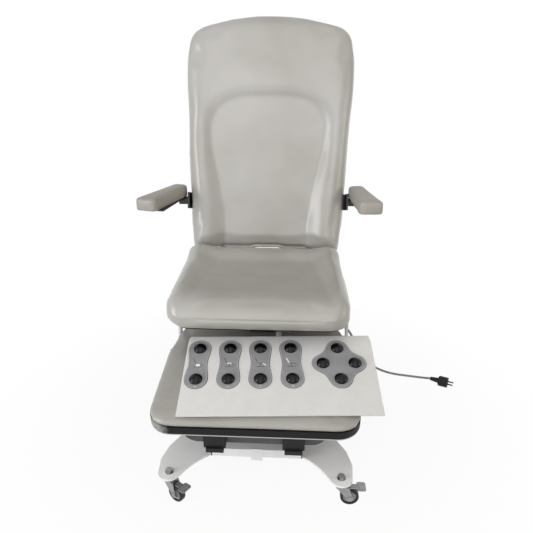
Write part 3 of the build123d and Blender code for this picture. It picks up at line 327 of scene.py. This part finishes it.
def wheel_rubber(name, centre, turn):
    """Black rubber tyre vulcanised round a pale nylon centre; the colour changes at the centre's rim."""
    material, tree = blank_material(name)
    position = add_node(tree, "TexCoord").outputs["Object"]
    wheel_axes = add_node(tree, "Mapping", {"Vector": position}, vector_type="TEXTURE", Location=centre,
                          Rotation=(0, 0, turn))
    flattened = add_node(tree, "VectorMath", {0: wheel_axes.outputs[0]}, operation="MULTIPLY")
    flattened.inputs[1].default_value = (1, 0, 1)
    reach = add_node(tree, "VectorMath", {0: flattened.outputs[0]}, operation="LENGTH")
    rim_low_mm, rim_high_mm = 17.6, 18.2
    tyre = add_node(tree, "MapRange", {"Value": reach.outputs["Value"]}, From_Min=rim_low_mm / 1000,
                    From_Max=rim_high_mm / 1000)
    scrape_mm = 6.25
    marks = add_node(tree, "TexNoise", {"Vector": position}, Scale=1000 / scrape_mm, Detail=6.0)
    nylon = add_node(tree, "ValToRGB", {"Fac": marks.outputs["Fac"]}, [(0, "#7d7d7c"), (1, "#b4b4b2")])
    rubber = add_node(tree, "ValToRGB", {"Fac": marks.outputs["Fac"]}, [(0, "#161617"), (1, "#2b2b2c")])
    colour = add_node(tree, "Mix", {0: tyre.outputs[0], 6: nylon.outputs["Color"],
                                    7: rubber.outputs["Color"]}, data_type="RGBA")
    relief = add_node(tree, "Bump", {"Height": marks.outputs["Fac"]}, Strength=0.2, Distance=0.0003)
    skin = add_node(tree, "BsdfPrincipled", {"Base Color": colour.outputs[2],
                                             "Normal": relief.outputs["Normal"]},
                    Roughness=0.5, Specular_IOR_Level=0.35)
    add_node(tree, "OutputMaterial", {"Surface": skin.outputs[0]})
    return material


finish_nodes(bright_zinc, "caster_bolts")
for corner, (caster_x, caster_y, caster_turn) in caster_places.items():
    turn = math.radians(caster_turn)
    hub = place(caster_x + wheel_trail * math.cos(turn), caster_y + wheel_trail * math.sin(turn),
                wheel_radius)
    tyre_rubber = wheel_rubber("tyre rubber and nylon " + corner.replace("_", " "), hub, turn)
    finish_nodes(bright_zinc, "caster_fork_" + corner)
    finish_nodes(tyre_rubber, "caster_wheel_" + corner)
finish_nodes(bright_zinc, "brake_pedal_front_left", "brake_pedal_front_right")


# Dark moulded parts: the tubs under the leg rest and behind the back are vacuum-formed ABS, the
# caps and drives black nylon, and the band round the leg rest is an extruded black rubber.
charcoal_abs = moulded_plastic("charcoal ABS cover", ("#464648", "#545456"), 0.5, 1.0, 0.2, 0.3)
black_plastic = moulded_plastic("black glass-filled nylon", ("#161617", "#202021"), 0.5, 1.0, 0.2, 0.25)
tray_metal = plated_steel("brushed aluminium tray", ("#b4b4b2", "#cfcfcd"), 0.34, 2.0)
# The seat board is coloured near black as painted shade: it stands for the shadow under the seat's front
# edge.
shadow_black_board = moulded_plastic("plywood coloured black as painted shade", ("#151413", "#201e1c"), 0.7, 1.4, 0.3, 0.2)
finish_nodes(charcoal_abs, "leg_rest_shell", "backrest_shell")
finish_nodes(black_plastic, "control_box", "recliner_drive", "leg_rest_drive", "console_socket", "mains_plug",
             "leg_rest_rail_caps", "base_end_caps")
finish_nodes(black_rubber_sheath, "mains_gland")
finish_nodes(tray_metal, "leg_rest_tray")
finish_nodes(shadow_black_board, "seat_board")

# The band is rubbed at its front left corner, where it has met door frames: its colour is scuffed
# silver up to some 30 mm from that corner, and the rubber's own beyond 45 mm, with a ragged edge
band = moulded_plastic("black rubber extrusion worn at one corner", ("#0e0e0e", "#171718"), 0.5, 0.9,
                       0.2, 0.2)
worn_corner = place(-263, -38, 243)
ragged_mm, silver_mm, rubber_mm = 50, 52, 70
tree = band.node_tree
spot = add_node(tree, "TexCoord")
apart = add_node(tree, "VectorMath", {0: spot.outputs["Object"]}, operation="DISTANCE")
apart.inputs[1].default_value = worn_corner
scuff_mm = 9.09
scuff = add_node(tree, "TexNoise", {"Vector": spot.outputs["Object"]}, Scale=1000 / scuff_mm, Detail=6.0)
spread = add_node(tree, "Math", {0: scuff.outputs["Fac"]}, operation="MULTIPLY")
spread.inputs[1].default_value = ragged_mm / 1000
reach = add_node(tree, "Math", {0: apart.outputs["Value"], 1: spread.outputs[0]}, operation="ADD")
worn = add_node(tree, "MapRange", {"Value": reach.outputs[0]}, From_Min=silver_mm / 1000,
                From_Max=rubber_mm / 1000, To_Min=1.0, To_Max=0.0)
skin = next(node for node in tree.nodes if node.type == "BSDF_PRINCIPLED")
rubber_colour = skin.inputs["Base Color"].links[0].from_socket
silver = add_node(tree, "ValToRGB", {"Fac": scuff.outputs["Fac"]}, [(0, "#4a4a4a"), (1, "#c2c2c0")])
rubbed = add_node(tree, "Mix", {0: worn.outputs[0], 6: rubber_colour, 7: silver.outputs["Color"]},
                  data_type="RGBA")
tree.links.new(rubbed.outputs[2], skin.inputs["Base Color"])
finish_nodes(band, "leg_rest_trim")


# Seat cushion: moulded foam under a seamless grey vinyl skin, dished in the middle with a raised
# roll along each side and a rounded front edge that falls over the board.
def vinyl(name, shades, roughness, lacquer=0.55):
    """Coated vinyl: satin, with a fine pressed leather grain and a slight warm unevenness from use."""
    material, tree = blank_material(name)
    position = add_node(tree, "TexCoord").outputs["Object"]
    pebble_mm, ripple_mm, patch_mm = 1.923, 14.29, 294.1
    pebble = add_node(tree, "TexVoronoi", {"Vector": position}, Scale=1000 / pebble_mm, Randomness=0.9)
    ripple = add_node(tree, "TexNoise", {"Vector": position}, Scale=1000 / ripple_mm, Detail=5.0)
    wear = add_node(tree, "TexNoise", {"Vector": position}, Scale=1000 / patch_mm, Detail=3.0, Roughness=0.55)
    tint = add_node(tree, "ValToRGB", {"Fac": wear.outputs["Fac"]}, zip((0.36, 0.66), shades))
    dull = add_node(tree, "MapRange", {"Value": ripple.outputs["Fac"]}, To_Min=roughness - 0.05,
                    To_Max=roughness + 0.07)
    grain = add_node(tree, "Bump", {"Height": pebble.outputs["Distance"]}, Strength=0.10, Distance=0.0004)
    soft = add_node(tree, "Bump", {"Height": ripple.outputs["Fac"], "Normal": grain.outputs["Normal"]},
                    Strength=0.10, Distance=0.001)
    skin = add_node(tree, "BsdfPrincipled", {"Base Color": tint.outputs["Color"],
                                             "Roughness": dull.outputs[0],
                                             "Normal": soft.outputs["Normal"]},
                    Coat_Weight=lacquer, Coat_Roughness=0.24)
    add_node(tree, "OutputMaterial", {"Surface": skin.outputs[0]})
    return material


def own(name, mesh, material, body):
    """A new piece that rides on a body and takes the finish it is given."""
    piece = bpy.data.objects.new(name, mesh)
    scene.collection.objects.link(piece)
    piece.data.materials.clear()
    piece.data.materials.append(material)
    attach(piece, body)
    return piece


def pick(piece):
    bpy.ops.object.select_all(action="DESELECT")
    piece.select_set(True)
    bpy.context.view_layer.objects.active = piece


def apply_all(piece):
    pick(piece)
    for modifier in list(piece.modifiers):
        bpy.ops.object.modifier_apply(modifier=modifier.name)


def coordinates(mesh):
    flat = np.zeros(len(mesh.vertices) * 3)
    mesh.vertices.foreach_get("co", flat)
    return flat.reshape(-1, 3)


def move_points(mesh, points):
    mesh.vertices.foreach_set("co", points.ravel())
    mesh.update()


def weld(mesh, distance_mm):
    """Joins points that lie together and turns all faces outwards."""
    shape = bmesh.new()
    shape.from_mesh(mesh)
    bmesh.ops.remove_doubles(shape, verts=shape.verts, dist=distance_mm / 1000)
    bmesh.ops.recalc_face_normals(shape, faces=shape.faces)
    shape.to_mesh(mesh)
    shape.free()
    return mesh


def solid_copy(node):
    """A CAD solid, copied with its triangles joined."""
    return weld(nodes[node].data.copy(), 0.05)


def stuff(piece, voxel_mm, pressure, cap_mm, held):
    """Remeshes the cover evenly and lets it swell as cloth over its filling, by no more than the
    cap; the points for which held is true stay put."""
    remesh = piece.modifiers.new("even", "REMESH")
    remesh.mode = "VOXEL"
    remesh.voxel_size = voxel_mm / 1000
    apply_all(piece)
    before = coordinates(piece.data)
    pins = piece.vertex_groups.new(name="pinned")
    pins.add([int(i) for i in np.nonzero(held(before))[0]], 1.0, "REPLACE")
    cloth = piece.modifiers.new("cloth", "CLOTH")
    cloth.settings.quality = 5
    cloth.settings.mass = 0.3
    cloth.settings.tension_stiffness = 30
    cloth.settings.compression_stiffness = 30
    cloth.settings.shear_stiffness = 15
    cloth.settings.bending_stiffness = 2
    cloth.settings.use_pressure = True
    cloth.settings.uniform_pressure_force = pressure
    cloth.settings.vertex_group_mass = "pinned"
    cloth.settings.effector_weights.gravity = 0
    last_frame = 20
    cloth.point_cache.frame_start, cloth.point_cache.frame_end = 1, last_frame
    for frame_number in range(1, last_frame + 1):
        scene.frame_set(frame_number)
    apply_all(piece)
    scene.frame_set(1)
    shift = coordinates(piece.data) - before
    length = np.maximum(np.linalg.norm(shift, axis=1, keepdims=True), 1e-9)
    move_points(piece.data, before + shift * np.minimum(1, cap_mm / 1000 / length))
    piece.vertex_groups.clear()


def soften(piece, passes, levels):
    """Smooths the cover and divides its faces; 0 levels leaves them as they are."""
    smooth = piece.modifiers.new("smooth", "SMOOTH")
    smooth.factor = 0.5
    smooth.iterations = passes
    if levels:
        fine = piece.modifiers.new("fine", "SUBSURF")
        fine.levels = fine.render_levels = levels
    apply_all(piece)
    piece.data.polygons.foreach_set("use_smooth", [True] * len(piece.data.polygons))


def smoothstep(value, low, high):
    """0 below low and 1 above high, with a soft S-shaped rise between them."""
    t = np.clip((value - low) / (high - low), 0, 1)
    return t * t * (3 - 2 * t)


def in_frame(points, matrix):
    """Points in a piece's own frame, in millimetres."""
    inverse = np.array(matrix.inverted())
    return (points @ inverse[:3, :3].T + inverse[:3, 3]) * 1000


def from_frame(points, matrix):
    forward = np.array(matrix)
    return (points / 1000) @ forward[:3, :3].T + forward[:3, 3]


def local_points(piece, matrix):
    return in_frame(coordinates(piece.data), matrix).T


def place_points(piece, matrix, x, y, z):
    move_points(piece.data, from_frame(np.stack([x, y, z], axis=1), matrix))


grey_vinyl = vinyl("warm grey coated vinyl", ("#a09d96", "#b0aeaa"), 0.38)
chair_frame = Matrix.Translation(place(0, 0, 0))
seat_bottom, seat_top = 435.5, 518
seat = own("seat_upholstery", solid_copy("seat_cushion"), grey_vinyl, "seat")
# The CAD cushion's plain dish is filled first, and the real one is pressed in after the swelling
x, y, z = local_points(seat, chair_frame)
plain_dish = (z > seat_top - 12.5) & (np.abs(x) < 208) & (y > 195) & (y < 596)
place_points(seat, chair_frame, x, y, np.where(plain_dish, seat_top, z))
stuff(seat, 6, 3, 6, lambda p: p[:, 2] < (seat_bottom + 6) / 1000)
soften(seat, 8, 0)
x, y, z = local_points(seat, chair_frame)
# The dish is wide at the front and narrow at the rear, where the side rolls are broad. It runs
# out over the rounded front edge, and behind it the cover rises to the back cushion's lower edge
dish_half = np.interp(y, [180, 400, 610], [204, 185, 150])
dish_edge = np.interp(y, [180, 400, 610], [30, 38, 56])
across = 1 - smoothstep(np.abs(x), dish_half - dish_edge * 0.35, dish_half + dish_edge)
deep = np.interp(y, [160, 210, 300, 420, 520, 600], [5, 12, 26, 32, 21, 3])
top_share = smoothstep(z, seat_bottom + 20, seat_top - 12)
front_fall = 28 * np.clip((285 - y) / 122, 0, 1) ** 2
roll = 7 * np.exp(-((np.abs(x) - dish_half - dish_edge) / 40) ** 2) * smoothstep(y, 300, 560)
rear_rise = np.interp(x, [-250, -200, 0, 200, 250], [12, 20, 22, 18, 9]) * smoothstep(y, 500, 590)
z = z - top_share * (deep * across + front_fall - roll - rear_rise)
# The cover wraps down over the board's front edge
tuck = (1 - smoothstep(y, 180, 215)) * (1 - smoothstep(z, seat_bottom, seat_bottom + 44))
z = z - 10 * tuck
y = y + 7 * tuck ** 2
# Its rear face is squeezed flat against the back cushion
squeezed_from = 588
y = np.where(y > squeezed_from, squeezed_from + (y - squeezed_from) * 0.55, y)
# The rolls are fuller on the left, where the cover is looser
side_share = smoothstep(np.abs(x), 150, 245) * smoothstep(z, seat_bottom - 6, seat_bottom + 14)
left_growth, right_growth = np.interp(y, [170, 600], [11, 21]), np.interp(y, [170, 600], [2, 3])
x = x + side_share * np.where(x < 0, -left_growth, right_growth)
place_points(seat, chair_frame, x, y, z)
soften(seat, 5, 1)
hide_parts("seat_cushion")

# Back cushion: moulded foam under the same seamless vinyl. Thick rolls down both sides frame a
# recess that narrows towards the seat, and the top edge is rolled over the board.
lean = math.radians(15.1)
back_frame = Matrix.Translation(place(0, 606, 521)) @ Matrix.Rotation(-lean, 4, "X")
back_height, back_half, back_depth = 769, 279, 62
recess_heights = [0, 80, 167, 250, 331, 420, 470]
recess_halves = [140, 142, 151, 168, 185, 194, 194]
recess_top, arch_start = 512, 340

back = own("back_upholstery", solid_copy("backrest_cushion"), grey_vinyl, "backrest")
# In the back's frame n goes into the cushion from its front face, and s up along it
x, n, s = local_points(back, back_frame)
plain_recess = (n > 0.5) & (n < 13) & (np.abs(x) < 205) & (s < 700)
place_points(back, back_frame, x, np.where(plain_recess, 0, n), s)
stuff(back, 7, 3, 7, lambda p: in_frame(p, back_frame)[:, 1] > back_depth - 6)
soften(back, 14, 0)
x, n, s = local_points(back, back_frame)
# The recess is a tall arch: straight tapering sides and a round top, soft above and crisp below
half = np.interp(s, recess_heights, recess_halves)
aside = np.interp(s, [0, 500], [8, 0])
rise = np.clip((s - arch_start) / (recess_top - arch_start), 0, None)
edge = ((np.abs(x + aside) / half) ** 3.4 + rise ** 3.4) ** (1 / 3.4)
outward = (edge - 1) * half
roll_width = np.interp(s, [0, 200, 400, 512], [74, 66, 52, 44])
inside = (1 - np.clip(outward / roll_width, 0, 1)) ** 2
front_share = 1 - smoothstep(n, 8, 40)
recess_deep = np.interp(s, [0, 150, 420, 512], [27, 25, 17, 13])
lumbar = 4.5 * smoothstep(s, 92, 160) * (1 - smoothstep(s, 175, 330))
roll_middle = (half + back_half) / 2
crown = np.interp(s, [0, 250, 420, 560], [10, 7, 4, 0]) * np.exp(-((np.abs(x) - roll_middle) / 42) ** 2)
n = n + front_share * ((recess_deep - lumbar) * inside - crown)
# The lower edge hangs down in front of the hinge shaft and behind it, and is grooved over it. It
# hangs less and clears the shaft by more at the drive and at the frame's ears, so that the cushion
# turns with the back without touching them
hang = 12 + 4 * x / back_half + 6 * smoothstep(n, 14, 24) * inside + 3 * smoothstep(np.abs(x), 150, 175)
between_parts = smoothstep(np.abs(x), 44, 58) * (1 - smoothstep(np.abs(x), 152, 166))
beside_parts = between_parts + smoothstep(np.abs(x), 184, 196)
groove = 18.5 - 7 * beside_parts
front_lip = (1 - smoothstep(n, 28, 37)) * beside_parts + (1 - smoothstep(n, 24, 34)) * (1 - beside_parts)
hang = hang * front_lip + 22 * smoothstep(n, 34, 44) * beside_parts
s = s - hang * (1 - smoothstep(s, 0, 30)) * (1 - smoothstep(np.abs(x), 266, 286))
axis_n, axis_s = 17.8, -20
over_shaft = axis_s + np.sqrt(np.clip(groove ** 2 - (n - axis_n) ** 2, 0, None))
s = np.where(np.abs(n - axis_n) < groove, np.maximum(s, over_shaft), s)
# Its top is fuller, and so are its sides, as the photograph shows each of them
s = s + 15 * smoothstep(s, 560, back_height)
side_share = smoothstep(np.abs(x), 150, 262)
side_heights = [0, 120, 160, 230, 320, 500, 700]
left_growth = np.interp(s, side_heights, [13, 9, 6, 10, 13, 9, 9])
right_growth = np.interp(s, side_heights, [2, 2, 2, 4, 7, 13, 15])
x = x + side_share * np.where(x < 0, -left_growth, right_growth)
place_points(back, back_frame, x, n, s)
soften(back, 3, 1)
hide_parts("backrest_cushion")

# Leg rest cushion: a thin foam pad in the seat's vinyl, with a duller finish and a darker colour
# that is painted shade, pulled tight over its board and tucked behind the rubber band.
leg_rise = math.radians(8.2)
leg_frame = Matrix.Translation(place(0, -40, 246.5)) @ Matrix.Rotation(leg_rise, 4, "X")
# The leg pad's vinyl is the seat's vinyl made duller, and its darker colour is painted shade.
dull_vinyl_with_painted_shade = vinyl("warm grey coated vinyl, duller, with painted shade", ("#94918b", "#a4a29c"), 0.44, 0.35)
leg_pad = own("leg_rest_upholstery", solid_copy("leg_rest_cushion"), dull_vinyl_with_painted_shade, "leg_rest")
stuff(leg_pad, 6, 2, 3, lambda p: in_frame(p, leg_frame)[:, 2] < 12)
soften(leg_pad, 5, 0)
x, y, z = local_points(leg_pad, leg_frame)
# Its rounded side bulges out over the band's upper edge, as far back as the band goes
bulge = smoothstep(z, 7.5, 12.5) * (1 - 0.35 * smoothstep(z, 20, 31))
side_share = smoothstep(np.abs(x), 215, 251)
front_share = 1 - smoothstep(y, 11, 48)
beside_band = 1 - smoothstep(y, 275, 360)
x = x + np.sign(x) * side_share * (13 * bulge * beside_band - 3 * smoothstep(y, 335, 365))
y = y - 10.5 * bulge * front_share
# Its rear end is rolled up and back over the hinge shaft, under the seat, apart from a notch for
# the drive's arm and the corners beside the seat frame's cheeks
rolled = smoothstep(y, 320, 390) * smoothstep(z, 9, 22)
y = y + 24 * rolled * smoothstep(np.abs(x), 48, 62) * (1 - smoothstep(np.abs(x), 228, 252))
z = z + 8 * rolled
place_points(leg_pad, leg_frame, x, y, z)
soften(leg_pad, 2, 1)
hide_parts("leg_rest_cushion")

# Armrest pads: self-skinning grey foam moulded round a steel core, wider towards the hand, with
# rounded top edges and a blunt front end.
arm_vinyl = vinyl("warm grey moulded foam skin", ("#96928a", "#a6a29b"), 0.5, 0.1)
pad_bottom = 680
for side, outwards, turned, shifted in (("left", -1, 7.0, 11), ("right", 1, -3.5, -4)):
    body = "armrest_" + side
    pad = own(body + "_upholstery", solid_copy("armrest_pad_" + side), arm_vinyl, body)
    # Each pad is turned a little on its plate, as it has worked loose in use
    hold = Matrix.Translation(place(outwards * (306 + shifted * 0.3), 626, 0))
    turn = hold @ Matrix.Rotation(math.radians(outwards * turned), 4, "Z") @ hold.inverted()
    pad.data.transform(Matrix.Translation((outwards * shifted / 1000, 0, 0)) @ turn)
    stuff(pad, 4, 2, 2.5, lambda p: p[:, 2] < (pad_bottom + 4) / 1000)
    soften(pad, 3, 1)
    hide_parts("armrest_pad_" + side)

# Control console: a wedge-shaped ivory ABS case, moulded with a draft so that its rear is a little
# narrower than its foot, and undercut along the front where it lies on the leg rest.
ivory = moulded_plastic("ivory ABS case", ("#dcdbd8", "#e3e2e0"), 0.42, 1.2)
console_turn = math.radians(3)
console_frame = leg_frame @ Matrix.Translation((0.0615, 0.0215, 0.03)) @ Matrix.Rotation(console_turn, 4, "Z")
console_half, console_depth, console_low, console_high = 261.5, 253.5, 12, 61
for name, node in (("console_shell", "console_case"), ("console_foot", "console_base")):
    shell = own(name, solid_copy(node), ivory, "leg_rest")
    x, y, z = local_points(shell, console_frame)
    face_height = console_low + (console_high - console_low) * y / console_depth
    upward, rearward = np.clip(z / face_height, 0, 1), np.clip(y / console_depth, 0, 1)
    # The sides lean in towards the top and the rear, and the front is undercut
    draft = 8 * rearward * upward * smoothstep(np.abs(x), 240, 261)
    x = np.where(x < 0, x + 5 + 0.8 * draft, x + 6 + 6 * rearward - 0.6 * draft)
    undercut = (1 - upward) * np.clip(1 - y / 40, 0, 1)
    # The sloping face goes on a little past the CAD case's rear edge
    past_rear = smoothstep(y, 248, 253)
    y = y + 10 * undercut + 11 * past_rear
    z = z + 2.1 * past_rear * upward
    place_points(shell, console_frame, x, y, z)
    pick(shell)
    bpy.ops.object.shade_smooth_by_angle(angle=math.radians(7))
    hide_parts(node)

# Keypads: five grey ABS plates glued on the sloping face, each with a raised paler rim and a black
# gasket line round it, dog-bone shaped for two buttons and a four-lobed one for the cross.
keypad_grey = moulded_plastic("grey ABS keypad", ("#8a8a8d", "#98989b"), 0.45, 1.0)
keypad_rim = moulded_plastic("pale grey ABS keypad rim", ("#a2a2a4", "#b0b0b2"), 0.4, 1.0)
gasket_black = moulded_plastic("black rubber gasket", ("#161616", "#242425"), 0.55, 0.8, 0.2, 0.2)
face_slope = math.atan2(console_high - console_low, console_depth)
face_frame = (console_frame @ Matrix.Translation((-console_half / 1000, 0, console_low / 1000))
              @ Matrix.Rotation(face_slope, 4, "X"))
front_row, rear_row = 115, 221.5
keypad_lobes = []
for number, column in enumerate([46, 131.5, 216.5, 301.8], start=1):
    lean_x = (number - 2.5) * 0.6
    keypad_lobes.append([(column + lean_x, front_row), (column - lean_x, rear_row)])
cross_x, cross_y, cross_aside, cross_ahead = 431.5, 167, 43.8, 53.3
keypad_lobes.append([(cross_x, cross_y - cross_ahead), (cross_x + cross_aside, cross_y),
                     (cross_x, cross_y + cross_ahead), (cross_x - cross_aside, cross_y)])


def lobed_outline(lobes, radius, waist_share):
    """Closed outline round the lobes, drawn in between them by a share of their distance."""
    outline = []
    directions = []
    for (ax, ay), (bx, by) in zip(lobes, lobes[1:] + lobes[:1]):
        directions.append(math.atan2(by - ay, bx - ax) - math.pi / 2)
    for number, (cx, cy) in enumerate(lobes):
        begin, finish = directions[number - 1], directions[number]
        while finish < begin:
            finish += 2 * math.pi
        for step in range(13):
            angle = begin + (finish - begin) * step / 12
            outline.append((cx + radius * math.cos(angle), cy + radius * math.sin(angle)))
        nx, ny = lobes[(number + 1) % len(lobes)]
        angle = directions[number]
        for step in range(1, 14):
            share = step / 14
            sag = waist_share * math.dist((cx, cy), (nx, ny)) * math.sin(math.pi * share) ** 2
            outline.append((cx + (nx - cx) * share + (radius - sag) * math.cos(angle),
                            cy + (ny - cy) * share + (radius - sag) * math.sin(angle)))
    return outline


def round_hole(centre, radius):
    return [(centre[0] + radius * math.cos(math.radians(a)), centre[1] + radius * math.sin(math.radians(a)))
            for a in range(0, 360, 9)]


def face_plate(name, loops_of_plates, low, high, edge, material):
    """Flat plates with bevelled edges on the console's face, cut out along closed loops."""
    curve = bpy.data.curves.new(name, "CURVE")
    curve.dimensions = "2D"
    curve.fill_mode = "BOTH"
    for loops in loops_of_plates:
        for loop in loops:
            spline = curve.splines.new("POLY")
            spline.points.add(len(loop) - 1)
            spline.use_cyclic_u = True
            for point, (px, py) in zip(spline.points, loop):
                point.co = (px / 1000, py / 1000, 0, 1)
    curve.extrude = ((high - low) / 2 - edge) / 1000
    curve.bevel_depth = edge / 1000
    curve.bevel_resolution = 1
    curve.offset = -edge / 1000
    holder = bpy.data.objects.new(name + "_outline", curve)
    scene.collection.objects.link(holder)
    bpy.context.view_layer.update()
    mesh = bpy.data.meshes.new_from_object(holder.evaluated_get(bpy.context.evaluated_depsgraph_get()))
    bpy.data.objects.remove(holder)
    bpy.data.curves.remove(curve)
    mesh.transform(Matrix.Translation((0, 0, (low + high) / 2000)))
    mesh.transform(face_frame)
    return own(name, weld(mesh, 0.02), material, "leg_rest")


button_radius, hole_clearance = 17.5, 0.6
rings, borders, fields = [], [], []
for lobes in keypad_lobes:
    radius, waist_share = (30.6, 0.055) if len(lobes) == 2 else (29.6, 0.11)
    rings.append([lobed_outline(lobes, radius + wider, waist_share) for wider in (1.1, -1)])
    borders.append([lobed_outline(lobes, radius + wider, waist_share) for wider in (0, -2.6)])
    holes = [round_hole(lobe, button_radius + hole_clearance) for lobe in lobes]
    fields.append([lobed_outline(lobes, radius - 2.3, waist_share), *holes])
face_plate("keypad_gaskets", rings, 0.05, 0.9, 0.2, gasket_black)
face_plate("keypad_rims", borders, 0.1, 2.2, 0.5, keypad_rim)
keypads = face_plate("keypad_plates", fields, 0.1, 1.3, 0.15, keypad_grey)
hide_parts("console_keypads")

# Signs printed on the keypads: a plain side view of a seat, back and leg rest on a stand, with the
# part that the two buttons move in white, and a white dot by each lower button.
sign_ink = moulded_plastic("dark grey pad printing ink", ("#2c2c2e", "#38383a"), 0.6, 1.0, 0.1, 0.3)
white_ink = moulded_plastic("white pad printing ink", ("#ececea", "#f6f6f4"), 0.6, 1.0, 0.1, 0.3)
sign_strokes = {
    "back": [(-11, 14), (-5, 0.5)],
    "seat": [(-4.6, 0), (5, 0)],
    "leg": [(5.4, -0.4), (12, -6)],
    "stand": [(0, -1), (0, -8)],
    "ground": [(-9, -9), (9, -9)],
}
thin_stroke = 1.0
moved_strokes = [("stand", 8.5), ("seat", 2.6), ("leg", 2.4), ("back", 2.4)]
sign_size = 1.3
dark_loops, white_loops = [], []
for ((front_x, front_at), (rear_x, rear_at)), (moved, moved_width) in zip(keypad_lobes, moved_strokes):
    centre_x, centre_y = (front_x + rear_x) / 2, (front_at + rear_at) / 2
    for stroke, ((ax, ay), (bx, by)) in sign_strokes.items():
        width = moved_width if stroke == moved else thin_stroke
        run = math.dist((ax, ay), (bx, by))
        ux, uy = (bx - ax) / run * width / 2, (by - ay) / run * width / 2
        corners = [(ax - uy, ay + ux), (ax + uy, ay - ux), (bx + uy, by - ux), (bx - uy, by + ux)]
        loop = [(centre_x + px * sign_size, centre_y + py * sign_size) for px, py in corners]
        (white_loops if stroke == moved else dark_loops).append([loop])
    white_loops.append([round_hole((front_x, front_at - 23.6), 1.6)])
face_plate("keypad_signs_dark", dark_loops, 1.25, 1.5, 0.05, sign_ink)
face_plate("keypad_signs_white", white_loops, 1.25, 1.55, 0.05, white_ink)

# Push buttons: glossy black ABS domes, polished in the mould, one in each round hole of a keypad.
# Their solids come from the CAD as they are, since each one travels by itself.
button_black = moulded_plastic("polished black ABS button", ("#050506", "#09090a"), 0.24, 2.0, 0.02, 0.22)
button_names = [name for name in nodes if name.startswith("button_")]
finish_nodes(button_black, *button_names)
